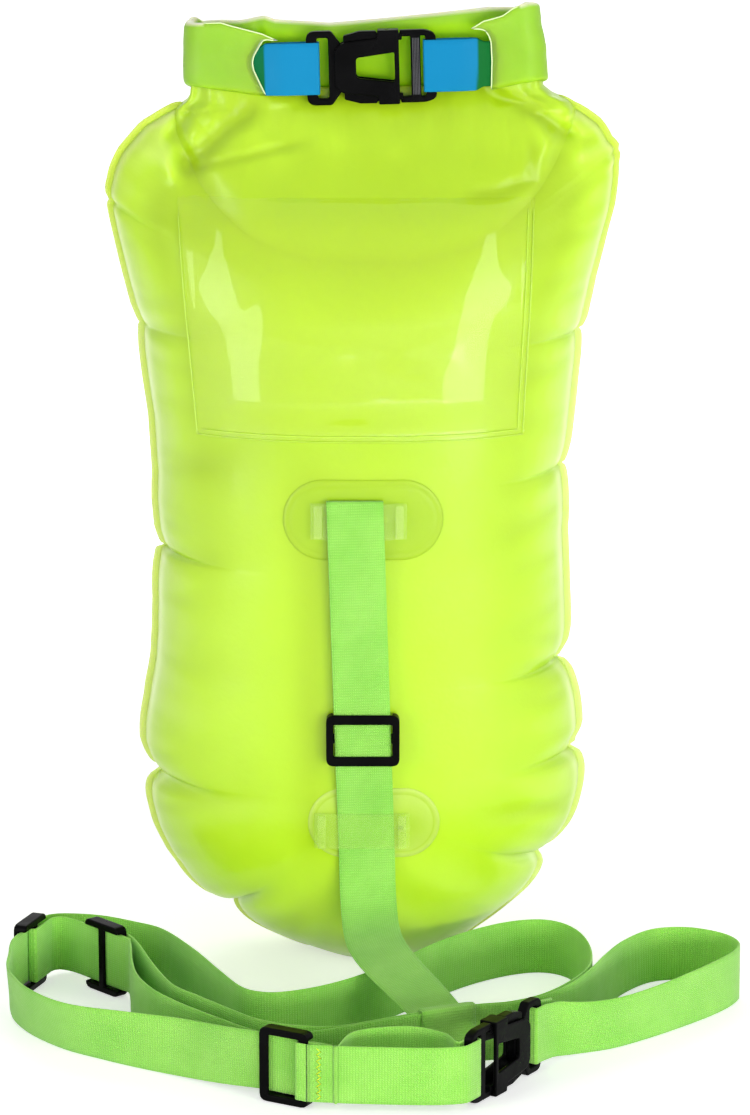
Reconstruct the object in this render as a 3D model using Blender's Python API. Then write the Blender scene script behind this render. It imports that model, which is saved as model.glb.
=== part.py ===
"""Swim buoy: an inflatable tow float with a roll-top dry bag, a leash and a waist belt.

Lengths are metres, +Z is up and -Y is the front. The origin is on the floor, under the middle of
the inflated body.
"""

import math

import bmesh
import bpy
from mathutils import Matrix, Vector

# Clearances and the sizes that many pieces share
GAP = 0.0003
OVERRUN = 0.004
MERGE = 0.00005
WEB_WIDTH = 0.030
WEB_THICK = 0.0012
WEB_STEP = 0.009
FILM = 0.0012

# Inflated body
BODY_HALF_WIDTH = 0.1365
BODY_HEIGHT = 0.4715
FRONT_DEPTH = 0.075
BACK_DEPTH = 0.072
SEAM_REACH = 0.0030
BACK_REACH = 0.0022
SPINE_LOW = 0.100
SPINE_HIGH = 0.360
FOOT_CUT = 0.0030
NECK_DEPTH_SHARE = 0.33
NECK_OVERLAP = 0.009
CROWN_POWER = 2.4
LOBE_POWER = 2.5
LOBE_STEPS = 7
RING_SHARES = (1.0, 0.985, 0.93, 0.82, 0.64, 0.40, 0.14)

# Body outline seen from the front: each row is a pucker's place across and up, as shares of the
# half width and the height, and the swell of the lobe that follows it, as a share of the half width.
# It runs down the left side, along the bottom and up the right side.
PUCKER_SHARES = (
    (-0.690, 0.998, 0.095),
    (-0.996, 0.887, 0.012),
    (-0.882, 0.747, 0.018),
    (-0.803, 0.488, 0.022),
    (-0.826, 0.408, 0.078),
    (-0.799, 0.226, 0.147),
    (-0.522, 0.073, 0.121),
    (0.150, 0.005, 0.126),
    (0.707, 0.128, 0.093),
    (0.841, 0.250, 0.055),
    (0.785, 0.356, 0.042),
    (0.785, 0.584, 0.027),
    (0.846, 0.740, 0.034),
    (0.999, 0.943, 0.045),
    (0.748, 1.004, 0.004),
)

# Rolled collar, its stiffener and its two tabs
ROLL_TILT = math.radians(1.5)
ROLL_SEAT = 0.0053
ROLL_BASE = BODY_HEIGHT + ROLL_SEAT
ROLL_HEIGHT = 0.040
ROLL_THICK = 0.010
FLAP_THICK = 0.007
ROLL_TURN = 0.008
ROLL_LEFT = 0.0820
ROLL_RIGHT = 0.0856
LEFT_FLAP_END = 0.0530
RIGHT_FLAP_END = 0.0665
ROLL_WALL = 0.006
ROLL_EDGE = 0.002
STIFFENER_HALF_LENGTH = 0.074
STIFFENER_HEIGHT = 0.020
TAB_WIDTH = 0.0275
TAB_THICK = 0.0009
TAB_GRIP = 0.012

# Side-release buckle, along its length from the female half's strap end
BUCKLE_LENGTH = 0.0686
BUCKLE_HALF_WIDTH = 0.0196
BUCKLE_HALF_THICK = 0.0050
FRAME_HALF_THICK = 0.0026
END_BAR = 0.0057
SLOT_HALF_WIDTH = 0.0160
FEMALE_SLOT = 0.0060
FEMALE_FRAME = 0.0165
FEMALE_WAIST_HALF = 0.0132
MOUTH_START = 0.0375
FEMALE_LENGTH = 0.0490
MOUTH_HALF = 0.0180
PLATE_FLARE = 0.0020
CAVITY_HALF_THICK = 0.0030
CORNER = 0.0035
WINDOW_START = 0.0262
WINDOW_END = 0.0465
WINDOW_HALF_START = 0.0052
WINDOW_HALF_END = 0.0078
MALE_FRAME_START = 0.0512
RUNG_START = 0.0551
RUNG_WIDTH = 0.0052
PRONG_TIP = 0.0195
PRONG_ROOT_GAP = 0.0005
PRONG_HALF_THICK = 0.0026
PRONG_WIDTH = 0.0036
PRONG_OUTER = 0.0176
BUTTON_OUTER = 0.0191
BUTTON_LENGTH = 0.0172
EASE = 0.0006

# Where the two buckles are
ROLL_BUCKLE_START = -0.0292
ROLL_BUCKLE_RISE = 0.0136
WAIST_BUCKLE_X = 0.0895
WAIST_BUCKLE_Y = -0.2045
WAIST_BUCKLE_TURN = math.radians(237.6)

# Three-bar webbing slider
SLIDER_LENGTH = 0.028
SLIDER_BAR = 0.0052
SLIDER_MIDDLE_BAR = 0.0046
SLIDER_RAIL = 0.0038
SLIDER_BAR_THICK = 0.0020
SLIDER_SIDE_PLAY = 0.0007

# Clear pocket, welded patches and moulded loops on the front
POCKET_THICK = 0.0008
POCKET_DROP = 0.0435
POCKET_HEIGHT = 0.1281
POCKET_TOP = BODY_HEIGHT - POCKET_DROP
POCKET_BOTTOM = POCKET_TOP - POCKET_HEIGHT
POCKET_TOP_LEFT = -0.0980
POCKET_BOTTOM_LEFT = -0.0875
POCKET_TOP_RIGHT = 0.0912
POCKET_BOTTOM_RIGHT = 0.0849
PATCH_THICK = 0.0009
UPPER_PATCH_X = 0.0003
UPPER_PATCH_Z = 0.2586
UPPER_PATCH_LENGTH = 0.0842
UPPER_PATCH_HEIGHT = 0.0430
LOWER_PATCH_X = 0.0060
LOWER_PATCH_Z = 0.0925
LOWER_PATCH_LENGTH = 0.0700
LOWER_PATCH_HEIGHT = 0.0385
ARC_STEPS = 8
LOOP_LENGTH = 0.051
LOOP_HEIGHT = 0.0195
LOOP_THICK = 0.0022
LOOP_FOOT = 0.0055
LOOP_RISE = 0.0030
UPPER_LOOP_X = -0.0020
UPPER_LOOP_Z = 0.2584
LOWER_LOOP_X = -0.0004
LOWER_LOOP_Z = 0.0893

# Leash on the body
LEASH_TOP_X = -0.0037
LEASH_BOTTOM_X = 0.0022
LEASH_SLIDER_Z = 0.1404
LEASH_END_Z = 0.0770
HEM = 0.012

# Valve in the middle of the back
VALVE_Z = 0.3350
VALVE_FLANGE_RADIUS = 0.023
VALVE_FLANGE_THICK = 0.0010
VALVE_OUTER_RADIUS = 0.0080
VALVE_BORE_RADIUS = 0.0045
VALVE_INNER_LENGTH = 0.010
VALVE_COLLAR_RADIUS = 0.0125
VALVE_COLLAR_THICK = 0.0024
VALVE_FLAP_THICK = 0.0006
PLUG_RADIUS = 0.0095
PLUG_THICK = 0.0022
PLUG_STUB_LENGTH = 0.0040
PLUG_STUB_BASE = 0.0042
PLUG_STUB_TIP = 0.0036
PLUG_TAB_REACH = 0.006
PLUG_TAB_HALF = 0.004
PLUG_HINGE_REACH = 0.0145
PLUG_STRAP_HALF = 0.0032
ROUND_STEPS = 28

# Routes of the webbing that lies free, as x, y and z of its lower edge and how far its upper edge
# leans to the right of its run. They are chosen by hand along what the belt does on the floor.
BELT_ROUTE = (
    (-0.02765, -0.26098, 0.0045, 0.0),
    (-0.0373, -0.2555, 0.0045, 0.0),
    (-0.0512, -0.2476, 0.0045, 0.0),
    (-0.0710, -0.2350, 0.0026, 0.002),
    (-0.0930, -0.2190, 0.0008, 0.003),
    (-0.1170, -0.2025, 0.0, -0.002),
    (-0.1383, -0.1880, 0.0, -0.007),
    (-0.1535, -0.1762, 0.0, -0.008),
    (-0.1680, -0.1595, 0.0, -0.007),
    (-0.1778, -0.1435, 0.0, -0.005),
    (-0.1843, -0.1275, 0.0004, -0.003),
    (-0.1872, -0.1120, 0.0022, 0.0),
    (-0.1870, -0.0990, 0.0040, 0.0),
    (-0.18498, -0.0898, 0.0045, 0.0),
    (-0.1797, -0.0747, 0.0045, 0.0),
    (-0.1744, -0.0596, 0.0045, 0.0),
    (-0.1700, -0.0520, 0.0040, 0.0),
    (-0.1605, -0.0462, 0.0028, 0.0),
    (-0.1430, -0.0445, 0.0012, 0.0),
    (-0.1244, -0.0515, 0.0, 0.0),
    (-0.1078, -0.0655, 0.0, 0.0),
    (-0.0899, -0.1000, 0.0, 0.0),
    (-0.0755, -0.1350, 0.0, 0.0),
    (-0.0635, -0.1620, 0.0, 0.0),
    (-0.0535, -0.1710, 0.0, 0.0),
    (-0.0415, -0.1716, 0.0, 0.0),
    (-0.0225, -0.1625, 0.0, 0.0),
    (-0.0028, -0.1455, 0.0, 0.0),
    (0.0192, -0.1195, 0.0, -0.001),
    (0.0408, -0.0900, 0.0, -0.002),
    (0.0602, -0.0685, 0.0, -0.002),
    (0.0798, -0.0540, 0.0, -0.002),
    (0.0966, -0.0490, 0.0, -0.001),
    (0.1095, -0.0560, 0.0, 0.0),
    (0.1180, -0.0745, 0.0, 0.0),
    (0.1215, -0.1020, 0.0, 0.0),
    (0.1190, -0.1290, 0.0, 0.0),
    (0.1080, -0.1540, 0.0, 0.0),
    (0.0930, -0.1755, 0.0002, 0.0),
    (0.0765, -0.1890, 0.0008, 0.0),
    (0.0600, -0.1961, 0.0017, 0.0),
    (0.0430, -0.2034, 0.0020, 0.0),
    (0.0250, -0.2112, 0.0017, 0.0),
    (0.0062, -0.2190, 0.0008, 0.0),
    (-0.0140, -0.2262, 0.0, 0.0),
    (-0.0340, -0.2242, 0.0, 0.0),
    (-0.0466, -0.2190, 0.0, 0.0),
    (-0.0570, -0.2110, 0.0, 0.0),
    (-0.0715, -0.1940, 0.0, 0.0),
    (-0.0860, -0.1760, 0.0, 0.0),
    (-0.0977, -0.1610, 0.0, 0.0),
    (-0.1062, -0.1400, 0.0004, 0.0),
    (-0.1128, -0.1220, 0.0020, 0.0),
    (-0.1186, -0.1050, 0.0040, 0.0),
    (-0.1224, -0.0945, 0.0045, 0.0),
)
TAIL_ROUTE = (
    (0.0985, -0.1972, 0.0036, 0.002),
    (0.1125, -0.1865, 0.0016, 0.006),
    (0.1316, -0.1728, 0.0, 0.006),
    (0.1574, -0.1505, 0.0, 0.004),
    (0.1842, -0.1222, 0.0, 0.001),
    (0.1985, -0.1010, 0.0, 0.0),
    (0.2010, -0.0860, 0.0, 0.0),
    (0.1930, -0.0715, 0.0, 0.0),
    (0.1753, -0.0618, 0.0, 0.0),
    (0.1560, -0.0655, 0.0, 0.0),
    (0.1400, -0.0850, 0.0, 0.0),
    (0.1290, -0.1090, 0.0, 0.0),
    (0.1210, -0.1305, 0.0, 0.0),
    (0.1097, -0.1551, 0.0, 0.0),
    (0.0944, -0.1771, 0.0002, 0.0),
    (0.0774, -0.1911, 0.0008, 0.0),
    (0.0606, -0.1983, 0.0017, 0.0),
    (0.0437, -0.2056, 0.0020, 0.0),
    (0.0257, -0.2134, 0.0017, 0.0),
    (0.0068, -0.2212, 0.0008, 0.0),
    (-0.0145, -0.2295, 0.0, 0.0),
    (-0.0330, -0.2365, 0.0, 0.0),
    (-0.0480, -0.2360, 0.0, 0.0),
    (-0.0600, -0.2270, 0.0, 0.0),
    (-0.0720, -0.2140, 0.0, 0.0),
    (-0.0845, -0.2000, 0.0, 0.0),
    (-0.0960, -0.1860, 0.0, 0.0),
    (-0.1085, -0.1670, 0.0, 0.0),
    (-0.1180, -0.1440, 0.0004, 0.0),
    (-0.1218, -0.1240, 0.0020, 0.0),
    (-0.1230, -0.1090, 0.0040, 0.0),
    (-0.1246, -0.0973, 0.0045, 0.0),
    (-0.1292, -0.0920, 0.0045, 0.0),
    (-0.1385, -0.0815, 0.0045, 0.0),
    (-0.1478, -0.0710, 0.0045, 0.0),
    (-0.1548, -0.0632, 0.0045, 0.0),
    (-0.1612, -0.0582, 0.0045, 0.0),
    (-0.1660, -0.0572, 0.0045, 0.0),
    (-0.1692, -0.0606, 0.0045, 0.0),
)
TETHER_ROUTE = (
    (0.0024, -0.0768, 0.0690, 0.0),
    (0.0026, -0.0785, 0.0605, 0.0),
    (0.0030, -0.0825, 0.0525, 2.0),
    (0.0036, -0.0890, 0.0460, 4.0),
    (0.0045, -0.0990, 0.0415, 6.0),
    (0.0065, -0.1140, 0.0385, 8.0),
    (0.0105, -0.1310, 0.0370, 8.0),
    (0.0165, -0.1480, 0.0350, 6.0),
    (0.0240, -0.1640, 0.0322, 4.0),
    (0.0312, -0.1780, 0.0290, 2.0),
)
# Slack of the adjusting loop between the front slider and the waist buckle, as x and y
BUCKLE_WEB_FRONT = (
    (-0.0050, -0.2702),
    (0.0090, -0.2712),
    (0.0250, -0.2722),
    (0.0390, -0.2722),
    (0.0500, -0.2702),
)
BUCKLE_WEB_BACK = (
    (0.0420, -0.2505),
    (0.0270, -0.2400),
    (0.0100, -0.2410),
    (-0.0050, -0.2490),
)
BELT_FRONT_SLIDER = 1
BELT_LEFT_SLIDER = 14
TAIL_INNER_SLIDER = 33
LOOP_BELT_POINT = 41
LOOP_TAIL_POINT = 17
LOOP_TIE_HEIGHT = 0.0262
LOOP_TIE_LENGTH = 0.011


def clear_scene():
    for old in list(bpy.data.objects):
        bpy.data.objects.remove(old, do_unlink=True)


def material(name, color, roughness, alpha=1.0):
    made = bpy.data.materials.new(name)
    made.use_nodes = True
    shader = made.node_tree.nodes["Principled BSDF"]
    shader.inputs["Base Color"].default_value = (*color, 1.0)
    shader.inputs["Roughness"].default_value = roughness
    shader.inputs["Metallic"].default_value = 0.0
    shader.inputs["Alpha"].default_value = alpha
    return made


def add_object(name, made, finish, place=None, parent=None):
    """Put a finished bmesh in the scene as one named piece."""
    bmesh.ops.recalc_face_normals(made, faces=made.faces)
    mesh = bpy.data.meshes.new(name)
    made.to_mesh(mesh)
    made.free()
    piece = bpy.data.objects.new(name, mesh)
    bpy.context.scene.collection.objects.link(piece)
    mesh.materials.append(finish)
    if place is not None:
        piece.matrix_world = place
    if parent is not None:
        piece.parent = parent
    return piece


def carve(piece, cutter, operation="DIFFERENCE"):
    """Apply a Boolean to a piece and delete the cutter."""
    modifier = piece.modifiers.new("cut", "BOOLEAN")
    modifier.operation = operation
    modifier.object = cutter
    modifier.solver = "EXACT"
    bpy.context.view_layer.update()
    graph = bpy.context.evaluated_depsgraph_get()
    carved = bpy.data.meshes.new_from_object(piece.evaluated_get(graph))
    piece.modifiers.clear()
    piece.data = carved
    bpy.data.objects.remove(cutter, do_unlink=True)


def shade(piece, degrees=35.0):
    piece.data.shade_smooth()
    piece.data.set_sharp_from_angle(angle=math.radians(degrees))


def box_mesh(low, high):
    made = bmesh.new()
    middle = (Vector(low) + Vector(high)) / 2
    size = Vector(high) - Vector(low)
    bmesh.ops.create_cube(made, size=1.0, matrix=Matrix.Translation(middle) @ Matrix.Diagonal((*size, 1.0)))
    return made


def prism_mesh(outline, low, high):
    """Extrude an outline of local x and z points along y."""
    made = bmesh.new()
    near = [made.verts.new((x, low, z)) for x, z in outline]
    far = [made.verts.new((x, high, z)) for x, z in outline]
    made.faces.new(near)
    made.faces.new(list(reversed(far)))
    count = len(outline)
    for i in range(count):
        made.faces.new((near[i], far[i], far[(i + 1) % count], near[(i + 1) % count]))
    return made


def lathe_mesh(profile, steps):
    """Turn an outline of radius and y points about the y axis; radius zero closes on the axis."""
    made = bmesh.new()
    rings = []
    for radius, y in profile:
        if radius < MERGE:
            rings.append([made.verts.new((0.0, y, 0.0))])
            continue
        angles = [2 * math.pi * k / steps for k in range(steps)]
        rings.append([made.verts.new((radius * math.cos(a), y, radius * math.sin(a))) for a in angles])
    count = len(rings)
    for i in range(count):
        ring, after = rings[i], rings[(i + 1) % count]
        if len(ring) == 1 and len(after) == 1:
            continue
        for k in range(steps):
            j = (k + 1) % steps
            if len(ring) == 1:
                made.faces.new((ring[0], after[j], after[k]))
            elif len(after) == 1:
                made.faces.new((ring[k], ring[j], after[0]))
            else:
                made.faces.new((ring[k], ring[j], after[j], after[k]))
    return made


def sweep_mesh(sections):
    """Skin a row of closed sections, each a list of points, and cap both ends."""
    made = bmesh.new()
    rows = [[made.verts.new(point) for point in section] for section in sections]
    count = len(rows[0])
    for near, far in zip(rows, rows[1:]):
        for i in range(count):
            j = (i + 1) % count
            made.faces.new((near[i], near[j], far[j], far[i]))
    made.faces.new(list(reversed(rows[0])))
    made.faces.new(rows[-1])
    return made


def smooth_route(points, step):
    """Even steps along a smooth curve through a route's points."""
    rows = [Vector(p) if len(p) < 4 else Vector((*p[:3], p[3])) for p in points]
    before = [rows[0] * 2 - rows[1]] + rows
    after = before + [rows[-1] * 2 - rows[-2]]
    fine = []
    parts = 12
    for i in range(1, len(after) - 2):
        a, b, c, d = after[i - 1], after[i], after[i + 1], after[i + 2]
        for k in range(parts):
            t = k / parts
            even = b * 2 + (c - a) * t + (a * 2 - b * 5 + c * 4 - d) * t * t
            fine.append((even + (b * 3 - a - c * 3 + d) * t * t * t) / 2)
    fine.append(rows[-1])
    lengths = [0.0]
    for a, b in zip(fine, fine[1:]):
        lengths.append(lengths[-1] + (b.to_3d() - a.to_3d()).length)
    pieces = max(2, round(lengths[-1] / step))
    found, k = [], 0
    for n in range(pieces + 1):
        goal = lengths[-1] * n / pieces
        while k < len(lengths) - 2 and lengths[k + 1] < goal:
            k += 1
        span = lengths[k + 1] - lengths[k]
        share = 0.0 if span == 0 else (goal - lengths[k]) / span
        found.append(fine[k].lerp(fine[k + 1], share))
    return found


def tangents(points):
    found = []
    for i in range(len(points)):
        before = points[max(i - 1, 0)]
        after = points[min(i + 1, len(points) - 1)]
        found.append((after - before).normalized())
    return found


def ribbon_mesh(middles, acrosses, width, thick):
    """A flat strip whose section follows a route, with the width along each across direction."""
    sections = []
    for point, run, across in zip(middles, tangents(middles), acrosses):
        side = (across - run * across.dot(run)).normalized()
        face = run.cross(side)
        half, deep = side * width / 2, face * thick / 2
        sections.append([point - half - deep, point + half - deep, point + half + deep, point - half + deep])
    return sweep_mesh(sections)


def standing_strip(route, width=WEB_WIDTH):
    """Middles and across directions of webbing that stands on its edge along a route."""
    rows = smooth_route(route, WEB_STEP)
    feet = [row.to_3d() for row in rows]
    middles, acrosses = [], []
    for row, foot, run in zip(rows, feet, tangents(feet)):
        right = Vector((run.y, -run.x, 0.0)).normalized()
        lean = row[3]
        up = Vector((0, 0, math.sqrt(width * width - lean * lean))) + right * lean
        acrosses.append(up.normalized())
        middles.append(foot + up / 2 + Vector((0, 0, abs(lean) / width * WEB_THICK / 2)))
    return middles, acrosses


def pucker(i):
    """Place of one pucker and the swell of the lobe after it."""
    across, up, swell = PUCKER_SHARES[i % len(PUCKER_SHARES)]
    place = Vector((across * BODY_HALF_WIDTH, up * (BODY_HEIGHT + FOOT_CUT) - FOOT_CUT))
    return place, swell * BODY_HALF_WIDTH


def body_outline(reach=0.0, neck=None):
    """The inflated body's edge, as x and z; the last lobe, under the collar, is left open for a neck."""
    found = []
    for i in range(len(PUCKER_SHARES)):
        start, swell = pucker(i)
        end, _ = pucker(i + 1)
        run = end - start
        out = Vector((run.y, -run.x)).normalized()
        last = i == len(PUCKER_SHARES) - 1
        if last and neck is not None:
            found += [start] + neck
            continue
        steps = LOBE_STEPS if run.length > BODY_HALF_WIDTH / 2 else LOBE_STEPS - 2
        for k in range(steps):
            share = (1 - math.cos(math.pi * k / steps)) / 2
            height = (1 - abs(2 * share - 1) ** LOBE_POWER) ** (1 / LOBE_POWER)
            found.append(start + run * share + out * swell * height)
    grown = []
    for point in found:
        inner = spine_point(point)
        away = point - inner
        grown.append(inner + away * (1 + reach / away.length))
    return grown


def spine_point(point):
    return Vector((0.0, min(max(point.y, SPINE_LOW), SPINE_HIGH)))


def crown(share, height, depth):
    """Depth of a chamber at a share of the way from its spine to its edge."""
    rise = min(max((height - SPINE_HIGH) / (BODY_HEIGHT - SPINE_HIGH), 0.0), 1.0)
    taper = 1 - (1 - NECK_DEPTH_SHARE) * rise * rise * (3 - 2 * rise)
    return depth * taper * math.sqrt(max(0.0, 1 - share**CROWN_POWER))


def front_face(height):
    """Depth, as a y place, of the front chamber's middle at one height."""
    edge = 0.0
    share = max(0.0, (SPINE_LOW - height) / (SPINE_LOW - edge))
    return -(FILM / 2 + GAP + crown(share, height, FRONT_DEPTH))


def chamber_mesh(depth, side, reach, shift=0.0):
    """One inflated chamber: a flat inner face on the dry bag and a crowned outer face."""
    made = bmesh.new()
    edge = body_outline(reach)
    inner_y = side * (FILM / 2 + GAP)
    rings = []
    for share in RING_SHARES:
        ring = []
        for point in edge:
            middle = spine_point(point)
            place = middle + (point - middle) * share
            deep = side * crown(share, place.y, depth)
            ring.append(made.verts.new((place.x, inner_y + deep + side * shift, max(place.y, 0.0))))
        rings.append(ring)
    count = len(edge)
    for outer, inner in zip(rings, rings[1:]):
        for i in range(count):
            j = (i + 1) % count
            made.faces.new((outer[i], outer[j], inner[j], inner[i]))
    made.faces.new(rings[0])
    made.faces.new(rings[-1])
    made.normal_update()
    bmesh.ops.triangulate(made, faces=made.faces, quad_method="FIXED", ngon_method="EAR_CLIP")
    return made


def make_chambers(film):
    front = add_object("front_chamber", chamber_mesh(FRONT_DEPTH, -1, 0.0), film)
    back = add_object("back_chamber", chamber_mesh(BACK_DEPTH, 1, BACK_REACH), film)
    pocket_depth = VALVE_INNER_LENGTH + VALVE_FLAP_THICK + 2 * GAP
    face = FILM / 2 + GAP + BACK_DEPTH
    hole = lathe_mesh(
        (
            (0.0, face - pocket_depth),
            (VALVE_OUTER_RADIUS + GAP, face - pocket_depth),
            (VALVE_OUTER_RADIUS + GAP, face + OVERRUN),
            (0.0, face + OVERRUN),
        ),
        ROUND_STEPS,
    )
    cutter = add_object("valve_hole", hole, film, Matrix.Translation((0, 0, VALVE_Z)))
    carve(back, cutter)
    for piece in (front, back):
        shade(piece, 60.0)
    return front, back


def make_dry_bag(film):
    """The dry compartment: a flat bag whose rim is the side seam and whose neck goes up into the roll."""
    right, left = pucker(len(PUCKER_SHARES) - 1)[0], pucker(0)[0]
    inset = NECK_OVERLAP / 2
    top = ROLL_BASE + NECK_OVERLAP
    neck = [Vector((ROLL_RIGHT - inset, right.y)), Vector((ROLL_RIGHT - inset, top))]
    neck += [Vector((inset - ROLL_LEFT, top)), Vector((inset - ROLL_LEFT, left.y))]
    edge = body_outline(SEAM_REACH, neck)
    made = prism_mesh([(p.x, max(p.y, 0.0)) for p in edge], -FILM / 2, FILM / 2)
    return add_object("dry_bag", made, film)


def roll_section(thick, height):
    """Section of the rolled collar: film folded over a slit that opens downwards."""
    slit = slit_half()
    half = thick / 2
    found = [(-slit, 0.0), (-half + ROLL_EDGE, 0.0), (-half, ROLL_EDGE)]
    for k in range(5):
        angle = math.pi * (1 - k / 4)
        found.append((half * math.cos(angle), height - half + half * math.sin(angle)))
    found += [(half, ROLL_EDGE), (half - ROLL_EDGE, 0.0), (slit, 0.0)]
    found += [(slit, height - ROLL_WALL), (-slit, height - ROLL_WALL)]
    return found


def slit_half():
    return TAB_THICK + 1.5 * GAP


def flap_y():
    return -2 * ROLL_TURN


def roll_path():
    """Plan of the collar: left flap, back band and right flap, as x, y and thickness."""
    found = []
    flap_step = (ROLL_LEFT - LEFT_FLAP_END) / 2
    for k in range(2):
        found.append((-LEFT_FLAP_END - flap_step * k, flap_y(), FLAP_THICK))
    turn_steps = 8
    for k in range(turn_steps + 1):
        angle = math.pi * k / turn_steps
        share = k / turn_steps
        thick = FLAP_THICK + (ROLL_THICK - FLAP_THICK) * share
        x = -ROLL_LEFT - ROLL_TURN * math.sin(angle)
        found.append((x, -ROLL_TURN - ROLL_TURN * math.cos(angle), thick))
    band_steps = 6
    for k in range(1, band_steps):
        found.append((-ROLL_LEFT + (ROLL_LEFT + ROLL_RIGHT) * k / band_steps, 0.0, ROLL_THICK))
    for k in range(turn_steps + 1):
        angle = math.pi * k / turn_steps
        thick = ROLL_THICK + (FLAP_THICK - ROLL_THICK) * k / turn_steps
        x = ROLL_RIGHT + ROLL_TURN * math.sin(angle)
        found.append((x, -ROLL_TURN + ROLL_TURN * math.cos(angle), thick))
    flap_step = (ROLL_RIGHT - RIGHT_FLAP_END) / 2
    for k in range(1, 3):
        found.append((ROLL_RIGHT - flap_step * k, flap_y(), FLAP_THICK))
    return found


def make_roll(film, plastic, holder):
    path = roll_path()
    middles = [Vector((x, y, 0.0)) for x, y, _ in path]
    sections = []
    for (x, y, thick), run in zip(path, tangents(middles)):
        side = Vector((-run.y, run.x, 0.0))
        sections.append([Vector((x, y, z)) + side * n for n, z in roll_section(thick, ROLL_HEIGHT)])
    roll = add_object("roll_top", sweep_mesh(sections), film, parent=holder)
    half = slit_half() - GAP
    top = ROLL_HEIGHT - ROLL_WALL - GAP
    low = (-STIFFENER_HALF_LENGTH, -half, top - STIFFENER_HEIGHT)
    strip = box_mesh(low, (STIFFENER_HALF_LENGTH, half, top))
    stiffener = add_object("roll_stiffener", strip, plastic, parent=holder)
    shade(roll)
    return roll, stiffener


def edge_turn(edge, side, near, far, reach, steps=3):
    """Plan of a strap that goes round one edge of a bar, from its near face to its far face.

    The edge is at x and the strap bulges to its side; both faces are y places and the strap's
    middle stays a reach away from the bar.
    """
    way = 1 if far > near else -1
    quarter = [math.pi / 2 * k / steps for k in range(steps + 1)]
    found = [(edge + side * reach * math.sin(a), near - way * reach * math.cos(a)) for a in quarter]
    found += [(edge + side * reach * math.cos(a), far + way * reach * math.sin(a)) for a in quarter]
    return found


def make_tab(name, finish, holder, start, direction, end, height):
    """A tab round a buckle's end bar: start is the buckle's end, end is inside the collar's flap."""
    length = abs(end - start)
    squeeze = TAB_THICK / 2 + GAP / 2
    reach = FRAME_HALF_THICK + GAP + TAB_THICK / 2
    taper = length - TAB_GRIP
    turn = edge_turn(END_BAR, 1, FRAME_HALF_THICK, -FRAME_HALF_THICK, GAP + TAB_THICK / 2)
    back = [(-length, squeeze), (GAP - taper, squeeze), (-taper / 2, reach)]
    front = [(-taper / 2, -reach), (GAP - taper, -squeeze), (-length, -squeeze)]
    middles = [Vector((start + direction * x, flap_y() + y, height)) for x, y in back + turn + front]
    acrosses = [Vector((0, 0, 1))] * len(middles)
    tab = add_object(name, ribbon_mesh(middles, acrosses, TAB_WIDTH, TAB_THICK), finish, parent=holder)
    shade(tab)
    return tab


def rounded(outline, radius, steps=3):
    """Round the corners of a convex or concave outline by cutting each at a radius."""
    found = []
    count = len(outline)
    for i, point in enumerate(outline):
        here = Vector(point)
        before = Vector(outline[i - 1])
        after = Vector(outline[(i + 1) % count])
        back, ahead = before - here, after - here
        cut = min(radius, back.length / 2.01, ahead.length / 2.01)
        start, end = here + back.normalized() * cut, here + ahead.normalized() * cut
        for k in range(steps + 1):
            t = k / steps
            found.append(tuple(start * (1 - t) ** 2 + here * 2 * t * (1 - t) + end * t * t))
    return found


def mirrored(upper):
    """Close an outline that is given for its upper half."""
    return list(upper) + [(x, -z) for x, z in reversed(upper)]


def make_buckle_female(name, plastic, holder):
    start, edge = 0.0, BUCKLE_HALF_WIDTH
    upper = [
        (start, edge),
        (FEMALE_FRAME, edge),
        (FEMALE_FRAME + EASE, FEMALE_WAIST_HALF),
        (PRONG_TIP + EASE, FEMALE_WAIST_HALF),
        (MOUTH_START, FEMALE_WAIST_HALF + PLATE_FLARE),
        (MOUTH_START, edge),
        (FEMALE_LENGTH, edge),
    ]
    thick = BUCKLE_HALF_THICK
    outline = rounded(mirrored(upper), EASE * 2, 2)
    female = add_object(name, prism_mesh(outline, -thick, thick), plastic)
    tall = edge + OVERRUN
    for side in (-1, 1):
        near, far = sorted((side * FRAME_HALF_THICK, side * (thick + OVERRUN)))
        low = (-OVERRUN, near, -tall)
        high = (FEMALE_FRAME - 2 * EASE, far, tall)
        carve(female, add_object("frame_step", box_mesh(low, high), plastic))
    slot_low = (END_BAR, -thick - OVERRUN, -SLOT_HALF_WIDTH)
    slot_high = (END_BAR + FEMALE_SLOT, thick + OVERRUN, SLOT_HALF_WIDTH)
    carve(female, add_object("slot", box_mesh(slot_low, slot_high), plastic))
    low = (PRONG_TIP - 2 * EASE, -CAVITY_HALF_THICK, -MOUTH_HALF)
    high = (FEMALE_LENGTH + OVERRUN, CAVITY_HALF_THICK, MOUTH_HALF)
    carve(female, add_object("cavity", box_mesh(low, high), plastic))
    window = mirrored([(WINDOW_START, WINDOW_HALF_START), (WINDOW_END, WINDOW_HALF_END)])
    window = rounded(window, CORNER / 2, 2)
    carve(female, add_object("window", prism_mesh(window, -thick - OVERRUN, thick + OVERRUN), plastic))
    female.parent = holder
    shade(female)
    return female


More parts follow.
